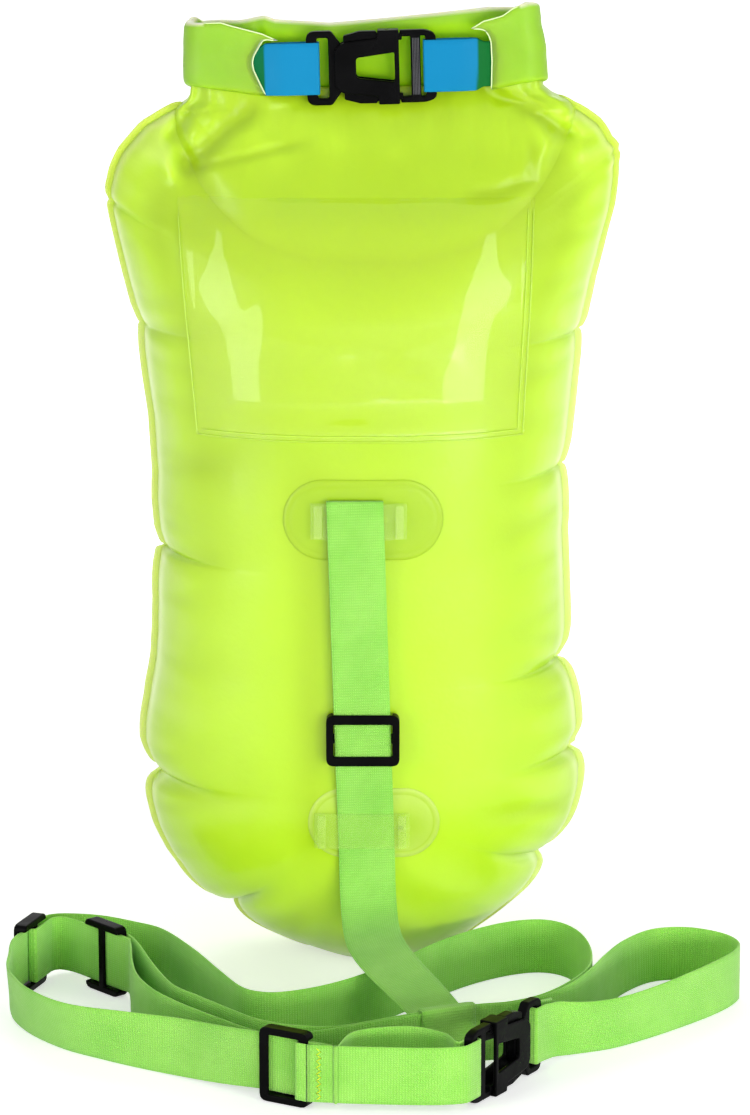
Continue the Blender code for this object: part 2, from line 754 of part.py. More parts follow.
def make_buckle_male(name, plastic, holder):
    edge = BUCKLE_HALF_WIDTH - EASE
    corners = mirrored([(MALE_FRAME_START, edge), (BUCKLE_LENGTH, edge)])
    half = FRAME_HALF_THICK
    male = add_object(name, prism_mesh(rounded(corners, CORNER / 2), -half, half), plastic)
    deep = half + OVERRUN
    low = (MALE_FRAME_START - OVERRUN, -deep, -SLOT_HALF_WIDTH)
    high = (RUNG_START, deep, SLOT_HALF_WIDTH)
    carve(male, add_object("slot", box_mesh(low, high), plastic))
    low = (RUNG_START + RUNG_WIDTH, -deep, -SLOT_HALF_WIDTH)
    high = (BUCKLE_LENGTH - END_BAR, deep, SLOT_HALF_WIDTH)
    carve(male, add_object("slot", box_mesh(low, high), plastic))
    male.parent = holder
    shade(male)
    return male


def hinge_height():
    return PRONG_OUTER - PRONG_WIDTH / 2


def make_prong(name, plastic, holder, side):
    """One springy arm, with its origin on the bend at its root. Side is 1 above and -1 below."""
    root = MALE_FRAME_START
    inner = PRONG_OUTER - PRONG_WIDTH
    button_end = MOUTH_START - 2 * GAP
    outline = [
        (root - PRONG_ROOT_GAP, inner),
        (root - PRONG_ROOT_GAP, PRONG_OUTER),
        (button_end + EASE, PRONG_OUTER),
        (button_end, BUTTON_OUTER),
        (button_end - BUTTON_LENGTH / 2, BUTTON_OUTER),
        (button_end - BUTTON_LENGTH, FEMALE_WAIST_HALF + PRONG_WIDTH),
        (button_end - BUTTON_LENGTH, FEMALE_WAIST_HALF),
        (button_end - BUTTON_LENGTH / 2, inner),
    ]
    middle = hinge_height()
    moved = [(x - root, side * (z - middle)) for x, z in outline]
    half = PRONG_HALF_THICK
    made = prism_mesh(rounded(moved, EASE, 2), -half, half)
    place = Matrix.Translation((root, 0, side * middle))
    prong = add_object(name, made, plastic, place, holder)
    prong.matrix_parent_inverse = Matrix.Identity(4)
    shade(prong)
    return prong


def make_buckle(names, plastic, holder):
    female, male, upper, lower = names
    make_buckle_female(female, plastic, holder)
    make_buckle_male(male, plastic, holder)
    make_prong(upper, plastic, holder, 1)
    make_prong(lower, plastic, holder, -1)


def slider_gap():
    """Room between a slider's outer bars and its middle bar: two layers of webbing."""
    return 2 * WEB_THICK + 3 * GAP


def make_slider(name, plastic, place):
    """Local x runs along the webbing, z across it; the outer bars are at negative y."""
    slot = WEB_WIDTH / 2 + SLIDER_SIDE_PLAY
    tall = slot + SLIDER_RAIL
    half = SLIDER_LENGTH / 2
    gap = slider_gap() / 2
    deep = gap + SLIDER_BAR_THICK
    corners = mirrored([(-half, tall), (half, tall)])
    slider = add_object(name, prism_mesh(rounded(corners, SLIDER_RAIL), -deep, deep), plastic)
    low = (-half - OVERRUN, -gap, -slot)
    carve(slider, add_object("passage", box_mesh(low, (half + OVERRUN, gap, slot)), plastic))
    opening = half - SLIDER_BAR
    low = (-opening, -deep - OVERRUN, -slot)
    carve(slider, add_object("window", box_mesh(low, (opening, 0.0, slot)), plastic))
    middle = SLIDER_MIDDLE_BAR / 2
    for near, far in ((-half - OVERRUN, -middle), (middle, half + OVERRUN)):
        high = (far, deep + OVERRUN, slot)
        carve(slider, add_object("notch", box_mesh((near, 0.0, -slot), high), plastic))
    slider.matrix_world = place
    shade(slider)
    return slider


def strip_place(route, index, turn=0.0, layers=0.0):
    """Where a slider sits on standing webbing: at one route point, facing across the run."""
    before, here, after = (Vector(route[index + k][:3]) for k in (-1, 0, 1))
    run = (after - before).normalized()
    angle = math.atan2(run.y, run.x) + turn
    right = Vector((run.y, -run.x, 0.0))
    middle = here + Vector((0, 0, WEB_WIDTH / 2)) + right * layers
    return Matrix.Translation(middle) @ Matrix.Rotation(angle, 4, "Z")


def layer_shift():
    """Half the distance between the middles of two layers that lie on each other."""
    return (WEB_THICK + GAP) / 2


def sewn_round_outer(side):
    """Plan, in a slider's own x and y, of a strap sewn round the outer bar at one end."""
    edge = SLIDER_LENGTH / 2 - SLIDER_BAR
    face = slider_gap() / 2
    reach = GAP + WEB_THICK / 2
    out = face + SLIDER_BAR_THICK
    turn = edge_turn(side * edge, -side, -out, -face, reach)
    end = SLIDER_LENGTH / 2
    return [(side * end, -out - reach)] + turn + [(side * (end + HEM / 2), reach - face)]


def sewn_round_middle():
    """Plan, in a slider's own x and y, of a strap sewn round the middle bar from its -x end."""
    face = slider_gap() / 2
    reach = GAP + WEB_THICK / 2
    out = face + SLIDER_BAR_THICK
    turn = edge_turn(SLIDER_MIDDLE_BAR / 2, 1, out, face, reach)
    return [(-SLIDER_LENGTH / 2, out + reach)] + turn + [(-HEM / 2, face - reach)]


def slider_places():
    shift = layer_shift()
    front = strip_place(BELT_ROUTE, BELT_FRONT_SLIDER, math.pi, -shift)
    left = strip_place(BELT_ROUTE, BELT_LEFT_SLIDER, math.pi, shift)
    inner = strip_place(TAIL_ROUTE, TAIL_INNER_SLIDER, 0.0, shift)
    return front, left, inner


def placed(place, plan):
    return [place @ Vector((x, y, 0.0)) for x, y in plan]


def make_belt(webbing):
    """The long strip: from the front slider round the back of the belt to the inner slider."""
    middles, acrosses = standing_strip(BELT_ROUTE)
    _, _, inner = slider_places()
    sewn = placed(inner, sewn_round_outer(-1))
    middles += sewn
    acrosses += [Vector((0, 0, 1))] * len(sewn)
    belt = add_object("belt_webbing", ribbon_mesh(middles, acrosses, WEB_WIDTH, WEB_THICK), webbing)
    shade(belt)
    return belt


def make_belt_tail(webbing, holder):
    """The second strip: from the buckle's female half, through the inner slider, to the left one."""
    reach = GAP + WEB_THICK / 2
    half = FRAME_HALF_THICK
    turn = edge_turn(END_BAR, 1, -half, half, reach)
    hem = [(-HEM, WEB_THICK), (-GAP, -half - reach)]
    start = placed(holder.matrix_world, hem + turn + [(0.0, half + reach)])
    _, left, _ = slider_places()
    sewn = placed(left, sewn_round_middle())
    route, acrosses = standing_strip(TAIL_ROUTE)
    up = [Vector((0, 0, 1))]
    middles = start + route + sewn
    made = ribbon_mesh(middles, up * len(start) + acrosses + up * len(sewn), WEB_WIDTH, WEB_THICK)
    tail = add_object("belt_tail_webbing", made, webbing)
    shade(tail)
    return tail


def leash_x(height):
    share = (UPPER_LOOP_Z - height) / (UPPER_LOOP_Z - LEASH_END_Z)
    return LEASH_TOP_X + (LEASH_BOTTOM_X - LEASH_TOP_X) * share


def patch_face(height):
    """Outer face of a welded patch at one height, as a y place."""
    return front_face(height) - GAP - PATCH_THICK


def slider_plane():
    """Middle of the leash slider's webbing room, as a y place."""
    behind = GAP + WEB_THICK + GAP + SLIDER_BAR_THICK
    return front_face(LEASH_SLIDER_Z) - behind - slider_gap() / 2


def leash_route():
    """Leash on the body, as y and z: sewn round the slider's middle bar, up behind the upper loop,
    over it and down in front, through the slider and under the lower loop."""
    reach = GAP + WEB_THICK / 2
    plane, z = slider_plane(), LEASH_SLIDER_Z
    route = [(plane + y, z - x) for x, y in reversed(sewn_round_middle())]
    under = patch_face(UPPER_LOOP_Z) - reach
    low, high = UPPER_LOOP_Z - LOOP_HEIGHT / 2, UPPER_LOOP_Z + LOOP_HEIGHT / 2
    inner = under - reach
    outer = inner - LOOP_THICK
    route += [(under, z + SLIDER_LENGTH), (under, low)]
    route += [(y, top) for top, y in edge_turn(high, 1, inner, outer, reach)]
    front = plane - layer_shift()
    route += [(outer - reach, low), (front, z + SLIDER_LENGTH), (front, z), (front, z - SLIDER_LENGTH / 2 - GAP)]
    for height in (LOWER_LOOP_Z + LOOP_HEIGHT / 2, LOWER_LOOP_Z, LEASH_END_Z):
        route.append((patch_face(height) - reach, height))
    return route


def make_leash(webbing):
    middles = [Vector((leash_x(z), y, z)) for y, z in leash_route()]
    made = ribbon_mesh(middles, [Vector((1, 0, 0))] * len(middles), WEB_WIDTH, WEB_THICK)
    leash = add_object("leash_webbing", made, webbing)
    shade(leash)
    return leash


def belt_loop_place():
    """Middle of the two belt strips at the leash's loop, the way they run and the room they need."""
    belt = Vector(BELT_ROUTE[LOOP_BELT_POINT][:3])
    tail = Vector(TAIL_ROUTE[LOOP_TAIL_POINT][:3])
    before, after = (Vector(BELT_ROUTE[LOOP_BELT_POINT + k][:3]) for k in (1, -1))
    run = (after - before).normalized()
    run.z = 0.0
    return (belt + tail) / 2, run.normalized(), (belt - tail).length / 2 + WEB_THICK / 2 + EASE


def make_tether(webbing):
    """Free stretch of the leash, from the lower loop down to the belt, with its twist in degrees."""
    last = leash_route()[-2:]
    above, end = (Vector((leash_x(z), y, z)) for y, z in last)
    start = end + (end - above).normalized() * GAP
    middle, run, room = belt_loop_place()
    back = Vector((-run.y, run.x, 0.0))
    face = middle + back * (room + WEB_THICK + GAP)
    face.z = LOOP_TIE_HEIGHT
    ties = [face + back * LOOP_TIE_LENGTH, face]
    route = [(*start, 0.0)] + list(TETHER_ROUTE) + [(*tie, 0.0) for tie in ties]
    rows = smooth_route(route, WEB_STEP)
    middles = [row.to_3d() for row in rows]
    acrosses = []
    level = Vector((1, 0, 0))
    for row, way, n in zip(rows, tangents(middles), range(len(rows))):
        share = n / (len(rows) - 1)
        side = level.lerp(run, share * share)
        side = (side - way * side.dot(way)).normalized()
        acrosses.append(Matrix.Rotation(math.radians(row[3]), 3, way) @ side)
    tether = add_object("leash_tether", ribbon_mesh(middles, acrosses, WEB_WIDTH, WEB_THICK), webbing)
    shade(tether)
    return tether


def make_belt_loop(webbing):
    """Sewn end of the leash: a sleeve round the two belt strips."""
    middle, run, room = belt_loop_place()
    outer = room + WEB_THICK
    low, high = GAP + WEB_THICK, middle.z + WEB_WIDTH + GAP
    half = WEB_WIDTH / 2
    made = box_mesh((-half, -outer, GAP), (half, outer, high + WEB_THICK))
    sleeve = add_object("leash_belt_loop", made, webbing)
    bore = box_mesh((-half - OVERRUN, -room, low), (half + OVERRUN, room, high))
    carve(sleeve, add_object("bore", bore, webbing))
    turn = Matrix.Rotation(math.atan2(run.y, run.x), 4, "Z")
    sleeve.matrix_world = Matrix.Translation((middle.x, middle.y, 0)) @ turn
    return sleeve


def make_buckle_webbing(webbing, holder):
    """Adjusting loop: sewn round the front slider's bar, out to the male half, round it and back."""
    front, _, _ = slider_places()
    near = list(reversed(placed(front, sewn_round_outer(1))))
    half = FRAME_HALF_THICK
    reach = GAP + WEB_THICK / 2
    length = BUCKLE_LENGTH
    turn = edge_turn(length - END_BAR, -1, half, -half, reach)
    wrap = [(length + OVERRUN, half + reach)] + turn + [(length + OVERRUN, -half - reach)]
    wrap = placed(holder.matrix_world, wrap)
    level = near[0].z
    bow = [Vector((x, y, level)) for x, y in BUCKLE_WEB_FRONT]
    slack = [Vector((x, y, level)) for x, y in BUCKLE_WEB_BACK]
    end, after = (Vector(row[:3]) + Vector((0, 0, WEB_WIDTH / 2)) for row in BELT_ROUTE[:2])
    run = (after - end).normalized()
    threaded = [end - run * SLIDER_LENGTH / 2, end - run * SLIDER_BAR, end - run * GAP]
    middles = near + bow + wrap + slack + threaded
    made = ribbon_mesh(middles, [Vector((0, 0, 1))] * len(middles), WEB_WIDTH, WEB_THICK)
    strip = add_object("buckle_webbing", made, webbing)
    shade(strip)
    return strip


def shell_patch(name, finish, outline, chamber, side, thick):
    """A welded film patch: the slice between two offsets of a chamber's face, inside an outline."""
    depth, reach = chamber
    deep = side * (max(FRONT_DEPTH, BACK_DEPTH) + 2 * OVERRUN)
    start = side * OVERRUN * 2
    low, high = sorted((deep, start))
    patch = add_object(name, prism_mesh(outline, low, high), finish)
    outer = add_object("outer", chamber_mesh(depth, side, reach, GAP + thick), finish)
    carve(patch, outer, "INTERSECT")
    inner = add_object("inner", chamber_mesh(depth, side, reach, GAP), finish)
    carve(patch, inner)
    return patch


def stadium(x, z, length, height):
    """Outline of a patch with round ends."""
    found = []
    radius = height / 2
    for side, start in ((1, -math.pi / 2), (-1, math.pi / 2)):
        for k in range(ARC_STEPS + 1):
            angle = start + math.pi * k / ARC_STEPS
            found.append((x + side * (length / 2 - radius) + radius * math.cos(angle), z + radius * math.sin(angle)))
    return found


def circle(radius, z=0.0):
    angles = [2 * math.pi * k / ROUND_STEPS for k in range(ROUND_STEPS)]
    return [(radius * math.cos(a), z + radius * math.sin(a)) for a in angles]


def make_pocket(clear):
    corners = [
        (POCKET_TOP_LEFT, POCKET_TOP),
        (POCKET_BOTTOM_LEFT, POCKET_BOTTOM),
        (POCKET_BOTTOM_RIGHT, POCKET_BOTTOM),
        (POCKET_TOP_RIGHT, POCKET_TOP),
    ]
    return shell_patch("pocket_window", clear, corners, (FRONT_DEPTH, 0.0), -1, POCKET_THICK)


def make_moulded_loop(name, clear, x, z):
    """A clear plate on two feet, with room for one layer of webbing under its middle."""
    half = LOOP_LENGTH / 2
    flat = half - LOOP_FOOT
    top = flat - LOOP_RISE
    lift = WEB_THICK + GAP
    base = patch_face(z) - GAP
    near = [(-half, 0.0), (-flat, 0.0), (-top, lift), (top, lift), (flat, 0.0), (half, 0.0)]
    far = [(px, py + LOOP_THICK) for px, py in reversed(near)]
    made = bmesh.new()
    rows = []
    for height in (-LOOP_HEIGHT / 2, LOOP_HEIGHT / 2):
        rows.append([made.verts.new((px, -py, height)) for px, py in near + far])
    count = len(rows[0])
    for i in range(count):
        j = (i + 1) % count
        made.faces.new((rows[0][i], rows[0][j], rows[1][j], rows[1][i]))
    made.faces.new(rows[0])
    made.faces.new(list(reversed(rows[1])))
    lean = math.atan2(patch_face(z + LOOP_HEIGHT) - patch_face(z - LOOP_HEIGHT), 2 * LOOP_HEIGHT)
    place = Matrix.Translation((x, base, z)) @ Matrix.Rotation(-lean, 4, "X")
    return add_object(name, made, clear, place)


def make_anchors(film, clear):
    front = (FRONT_DEPTH, 0.0)
    upper = stadium(UPPER_PATCH_X, UPPER_PATCH_Z, UPPER_PATCH_LENGTH, UPPER_PATCH_HEIGHT)
    lower = stadium(LOWER_PATCH_X, LOWER_PATCH_Z, LOWER_PATCH_LENGTH, LOWER_PATCH_HEIGHT)
    shell_patch("upper_anchor_patch", film, upper, front, -1, PATCH_THICK)
    shell_patch("lower_anchor_patch", film, lower, front, -1, PATCH_THICK)
    make_moulded_loop("upper_anchor_loop", clear, UPPER_LOOP_X, UPPER_LOOP_Z)
    make_moulded_loop("lower_anchor_loop", clear, LOWER_LOOP_X, LOWER_LOOP_Z)


def make_valve(film, clear, plastic):
    face = FILM / 2 + GAP + BACK_DEPTH
    back = (BACK_DEPTH, BACK_REACH)
    flange = shell_patch("valve_flange", film, circle(VALVE_FLANGE_RADIUS, VALVE_Z), back, 1, VALVE_FLANGE_THICK)
    hole = prism_mesh(circle(VALVE_OUTER_RADIUS + GAP, VALVE_Z), face - OVERRUN, face + OVERRUN)
    carve(flange, add_object("hole", hole, film))
    collar = face + 2 * GAP + VALVE_FLANGE_THICK
    top = collar + VALVE_COLLAR_THICK
    inner = face - VALVE_INNER_LENGTH
    profile = (
        (VALVE_BORE_RADIUS, inner),
        (VALVE_OUTER_RADIUS, inner),
        (VALVE_OUTER_RADIUS, collar),
        (VALVE_COLLAR_RADIUS, collar),
        (VALVE_COLLAR_RADIUS, top),
        (VALVE_BORE_RADIUS, top),
    )
    axis = Matrix.Translation((0, 0, VALVE_Z))
    stem = add_object("valve_stem", lathe_mesh(profile, ROUND_STEPS), clear, axis)
    low = inner - GAP - VALVE_FLAP_THICK
    profile = ((0.0, low), (VALVE_OUTER_RADIUS - EASE, low), (VALVE_OUTER_RADIUS - EASE, inner - GAP), (0.0, inner - GAP))
    flap = add_object("valve_flap", lathe_mesh(profile, ROUND_STEPS), clear, axis)
    for piece in (stem, flap):
        shade(piece)
    make_plug(plastic, top + GAP)


def make_plug(plastic, seat):
    """Plug with a pull tab above and a strap below, whose end is the hinge."""
    hinge = bpy.data.objects.new("plug_hinge", None)
    bpy.context.scene.collection.objects.link(hinge)
    hinge.matrix_world = Matrix.Translation((0, seat, VALVE_Z - PLUG_HINGE_REACH))
    profile = (
        (0.0, -PLUG_STUB_LENGTH),
        (PLUG_STUB_TIP, -PLUG_STUB_LENGTH),
        (PLUG_STUB_BASE, 0.0),
        (PLUG_RADIUS, 0.0),
        (PLUG_RADIUS, PLUG_THICK),
        (0.0, PLUG_THICK),
    )
    plug = add_object("valve_plug", lathe_mesh(profile, ROUND_STEPS), plastic)
    tab_top = PLUG_RADIUS + PLUG_TAB_REACH
    low = (-PLUG_TAB_HALF, 0.0, PLUG_STUB_BASE + EASE)
    tab = add_object("tab", box_mesh(low, (PLUG_TAB_HALF, PLUG_THICK, tab_top)), plastic)
    carve(plug, tab, "UNION")
    low = (-PLUG_STRAP_HALF, 0.0, -PLUG_HINGE_REACH)
    strap = add_object("strap", box_mesh(low, (PLUG_STRAP_HALF, PLUG_THICK / 2, -PLUG_STUB_BASE - EASE)), plastic)
    carve(plug, strap, "UNION")
    plug.parent = hinge
    plug.matrix_local = Matrix.Translation((0, 0, PLUG_HINGE_REACH))
    shade(plug)
    return plug


def holder_at(name, place):
    holder = bpy.data.objects.new(name, None)
    bpy.context.scene.collection.objects.link(holder)
    holder.matrix_world = place
    return holder


def build():
    clear_scene()
    film = material("air_film", (0.60, 0.95, 0.03), 0.22, 0.96)
    matte_film = material("roll_film", (0.42, 0.74, 0.10), 0.42)
    tab_film = material("tab_film", (0.03, 0.33, 0.66), 0.35)
    webbing = material("webbing", (0.30, 0.86, 0.12), 0.75)
    plastic = material("black_plastic", (0.012, 0.012, 0.012), 0.32)
    clear = material("clear_film", (0.80, 0.95, 0.55), 0.08, 0.55)
    stiff = material("stiffener_plastic", (0.70, 0.72, 0.68), 0.45)

    make_chambers(film)
    make_dry_bag(film)

    tilt = Matrix.Rotation(-ROLL_TILT, 4, "Y")
    roll_holder = holder_at("roll_holder", Matrix.Translation((0, 0, ROLL_BASE)) @ tilt)
    make_roll(matte_film, stiff, roll_holder)
    grip_left, grip_right = -LEFT_FLAP_END - TAB_GRIP, RIGHT_FLAP_END + TAB_GRIP
    buckle_end = ROLL_BUCKLE_START + BUCKLE_LENGTH
    make_tab("left_tab", tab_film, roll_holder, ROLL_BUCKLE_START, 1, grip_left, ROLL_BUCKLE_RISE)
    make_tab("right_tab", tab_film, roll_holder, buckle_end, -1, grip_right, ROLL_BUCKLE_RISE)

    roll_buckle_place = Matrix.Translation((0, 0, ROLL_BASE)) @ tilt
    roll_buckle_place = roll_buckle_place @ Matrix.Translation((ROLL_BUCKLE_START, flap_y(), ROLL_BUCKLE_RISE))
    roll_buckle = holder_at("roll_buckle_holder", roll_buckle_place)
    names = ("roll_buckle_female", "roll_buckle_male", "roll_prong_upper", "roll_prong_lower")
    make_buckle(names, plastic, roll_buckle)

    waist_place = Matrix.Translation((WAIST_BUCKLE_X, WAIST_BUCKLE_Y, BUCKLE_HALF_WIDTH))
    waist_place = waist_place @ Matrix.Rotation(WAIST_BUCKLE_TURN, 4, "Z")
    waist_buckle = holder_at("waist_buckle_holder", waist_place)
    names = ("waist_buckle_female", "waist_buckle_male", "waist_prong_upper", "waist_prong_lower")
    make_buckle(names, plastic, waist_buckle)

    make_pocket(clear)
    make_anchors(film, clear)
    make_leash(webbing)
    leash_place = Matrix.Translation((leash_x(LEASH_SLIDER_Z), slider_plane(), LEASH_SLIDER_Z))
    make_slider("leash_slider", plastic, leash_place @ Matrix.Rotation(math.pi / 2, 4, "Y"))
    make_tether(webbing)
    make_belt_loop(webbing)

    make_belt(webbing)
    make_belt_tail(webbing, waist_buckle)
    make_buckle_webbing(webbing, waist_buckle)
    for name, place in zip(("belt_slider_front", "belt_slider_left", "belt_slider_inner"), slider_places()):
        make_slider(name, plastic, place)
    make_valve(film, clear, plastic)


build()
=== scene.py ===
import math

import bmesh
import bpy
import numpy as np
from mathutils import Matrix, Vector, noise
from mathutils.bvhtree import BVHTree


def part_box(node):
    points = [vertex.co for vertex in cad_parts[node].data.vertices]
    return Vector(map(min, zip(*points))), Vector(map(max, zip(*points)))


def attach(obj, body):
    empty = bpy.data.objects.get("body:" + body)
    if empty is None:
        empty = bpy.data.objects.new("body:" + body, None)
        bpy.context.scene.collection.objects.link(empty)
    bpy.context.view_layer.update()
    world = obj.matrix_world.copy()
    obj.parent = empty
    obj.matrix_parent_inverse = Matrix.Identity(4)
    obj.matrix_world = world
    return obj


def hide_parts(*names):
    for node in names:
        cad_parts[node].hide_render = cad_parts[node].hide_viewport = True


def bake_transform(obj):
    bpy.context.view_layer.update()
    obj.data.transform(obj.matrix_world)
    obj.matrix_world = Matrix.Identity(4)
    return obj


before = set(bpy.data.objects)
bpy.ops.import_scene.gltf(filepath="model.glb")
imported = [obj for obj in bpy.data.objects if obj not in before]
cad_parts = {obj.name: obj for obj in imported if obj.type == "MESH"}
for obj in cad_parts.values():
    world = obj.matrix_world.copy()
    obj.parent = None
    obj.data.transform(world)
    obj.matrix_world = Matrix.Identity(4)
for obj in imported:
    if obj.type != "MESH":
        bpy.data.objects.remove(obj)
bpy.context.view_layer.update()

# Camera, floor and light
camera_data = bpy.data.cameras.new("camera")
camera = bpy.data.objects.new("camera", camera_data)
bpy.context.scene.collection.objects.link(camera)
camera.location = (0.0066, -2.4, 0.775)
camera.rotation_euler = (math.radians(77.0), 0.0, 0.0)
camera_data.sensor_fit = "VERTICAL"
camera_data.sensor_height = 36.0
camera_data.lens = 145.97
camera_data.clip_start = 0.05
bpy.context.scene.camera = camera
bpy.context.scene.view_settings.view_transform = "Standard"


def area_light(name, place, target, size_x, size_y, power):
    data = bpy.data.lights.new(name, "AREA")
    data.shape = "RECTANGLE"
    data.size, data.size_y = size_x, size_y
    data.energy = power
    lamp = bpy.data.objects.new(name, data)
    bpy.context.scene.collection.objects.link(lamp)
    lamp.location = place
    aim = Vector(target) - Vector(place)
    lamp.rotation_euler = aim.to_track_quat("-Z", "Y").to_euler()
    return lamp


# the low fill lights the bottom and the belt without a mirror image of its own in the film
area_light("fill", (0.7, -2.5, 0.22), (0, 0, 0.0), 1.6, 0.4, 40).visible_glossy = False
area_light("soft_left", (-1.16, -1.12, 0.64), (-0.07, -0.07, 0.64), 0.62, 1.26, 7.4)
area_light("soft_right", (1.00, -1.25, 0.64), (0.05, -0.07, 0.64), 0.64, 1.26, 8.4)
area_light("back", (0.0, 1.6, 1.7), (0, 0, 0.25), 1.6, 1.0, 16)

SIDE_LIGHT, TOP_LIGHT = 0.52, 0.20
FLOOR_LIFT, FLOOR_NEAR, FLOOR_FAR, FLOOR_HALF = 0.52, 0.30, 0.95, 6.0


def white_to_camera(tree):
    """Share 1 where the camera, a mirror or a clear film sees this surface, as one node socket."""
    rays = tree.nodes.new("ShaderNodeLightPath").outputs
    share = rays["Is Camera Ray"]
    for kind in ("Is Glossy Ray", "Is Transmission Ray"):
        either = tree.nodes.new("ShaderNodeMath")
        either.operation = "MAXIMUM"
        tree.links.new(share, either.inputs[0])
        tree.links.new(rays[kind], either.inputs[1])
        share = either.outputs[0]
    return share


def map_range(tree, value, low, high, to_low=0.0, to_high=1.0, kind="LINEAR"):
    """Map a socket's values from low and high to to_low and to_high."""
    node = tree.nodes.new("ShaderNodeMapRange")
    node.interpolation_type = kind
    for name, number in (("From Min", low), ("From Max", high), ("To Min", to_low), ("To Max", to_high)):
        node.inputs[name].default_value = number
    tree.links.new(value, node.inputs["Value"])
    return node.outputs["Result"]


def make_world():
    """Soft light from all round, a little dimmer overhead, and plain white where it is seen."""
    world = bpy.data.worlds.new("studio")
    bpy.context.scene.world = world
    world.use_nodes = True
    tree = world.node_tree
    tree.nodes.clear()
    way = tree.nodes.new("ShaderNodeTexCoord")
    height = tree.nodes.new("ShaderNodeSeparateXYZ")
    tree.links.new(way.outputs["Generated"], height.inputs[0])
    lit = tree.nodes.new("ShaderNodeBackground")
    seen = tree.nodes.new("ShaderNodeBackground")
    for shader in (lit, seen):
        shader.inputs["Color"].default_value = (1, 1, 1, 1)
    strength = map_range(tree, height.outputs["Z"], 0.1, 0.9, SIDE_LIGHT, TOP_LIGHT)
    tree.links.new(strength, lit.inputs["Strength"])
    seen.inputs["Strength"].default_value = 1.0
    mix = tree.nodes.new("ShaderNodeMixShader")
    output = tree.nodes.new("ShaderNodeOutputWorld")
    tree.links.new(white_to_camera(tree), mix.inputs[0])
    tree.links.new(lit.outputs[0], mix.inputs[1])
    tree.links.new(seen.outputs[0], mix.inputs[2])
    tree.links.new(mix.outputs[0], output.inputs["Surface"])


def make_floor():
    """A pale floor with the object's shadow, plain white further out, so that it has no visible end."""
    made = bpy.data.materials.new("floor_white")
    made.use_nodes = True
    tree = made.node_tree
    shader = tree.nodes["Principled BSDF"]
    shader.inputs["Base Color"].default_value = (0.9, 0.9, 0.9, 1)
    shader.inputs["Roughness"].default_value = 0.9
    shader.inputs["Specular IOR Level"].default_value = 0.1
    shader.inputs["Emission Color"].default_value = (1, 1, 1, 1)
    place = tree.nodes.new("ShaderNodeNewGeometry")
    far_off = tree.nodes.new("ShaderNodeVectorMath")
    far_off.operation = "LENGTH"
    tree.links.new(place.outputs["Position"], far_off.inputs[0])
    glow = map_range(tree, far_off.outputs["Value"], FLOOR_NEAR, FLOOR_FAR, FLOOR_LIFT, 1.0, "SMOOTHSTEP")
    lift = tree.nodes.new("ShaderNodeMath")
    lift.operation = "MULTIPLY"
    tree.links.new(glow, lift.inputs[1])
    tree.links.new(white_to_camera(tree), lift.inputs[0])
    tree.links.new(lift.outputs[0], shader.inputs["Emission Strength"])
    mesh = bpy.data.meshes.new("floor")
    corners = ((-1, -1), (1, -1), (1, 1), (-1, 1))
    mesh.from_pydata([(x * FLOOR_HALF, y * FLOOR_HALF, -0.0002) for x, y in corners], [], [(0, 1, 2, 3)])
    floor = bpy.data.objects.new("floor", mesh)
    bpy.context.scene.collection.objects.link(floor)
    mesh.materials.append(made)


make_world()
make_floor()

# Materials


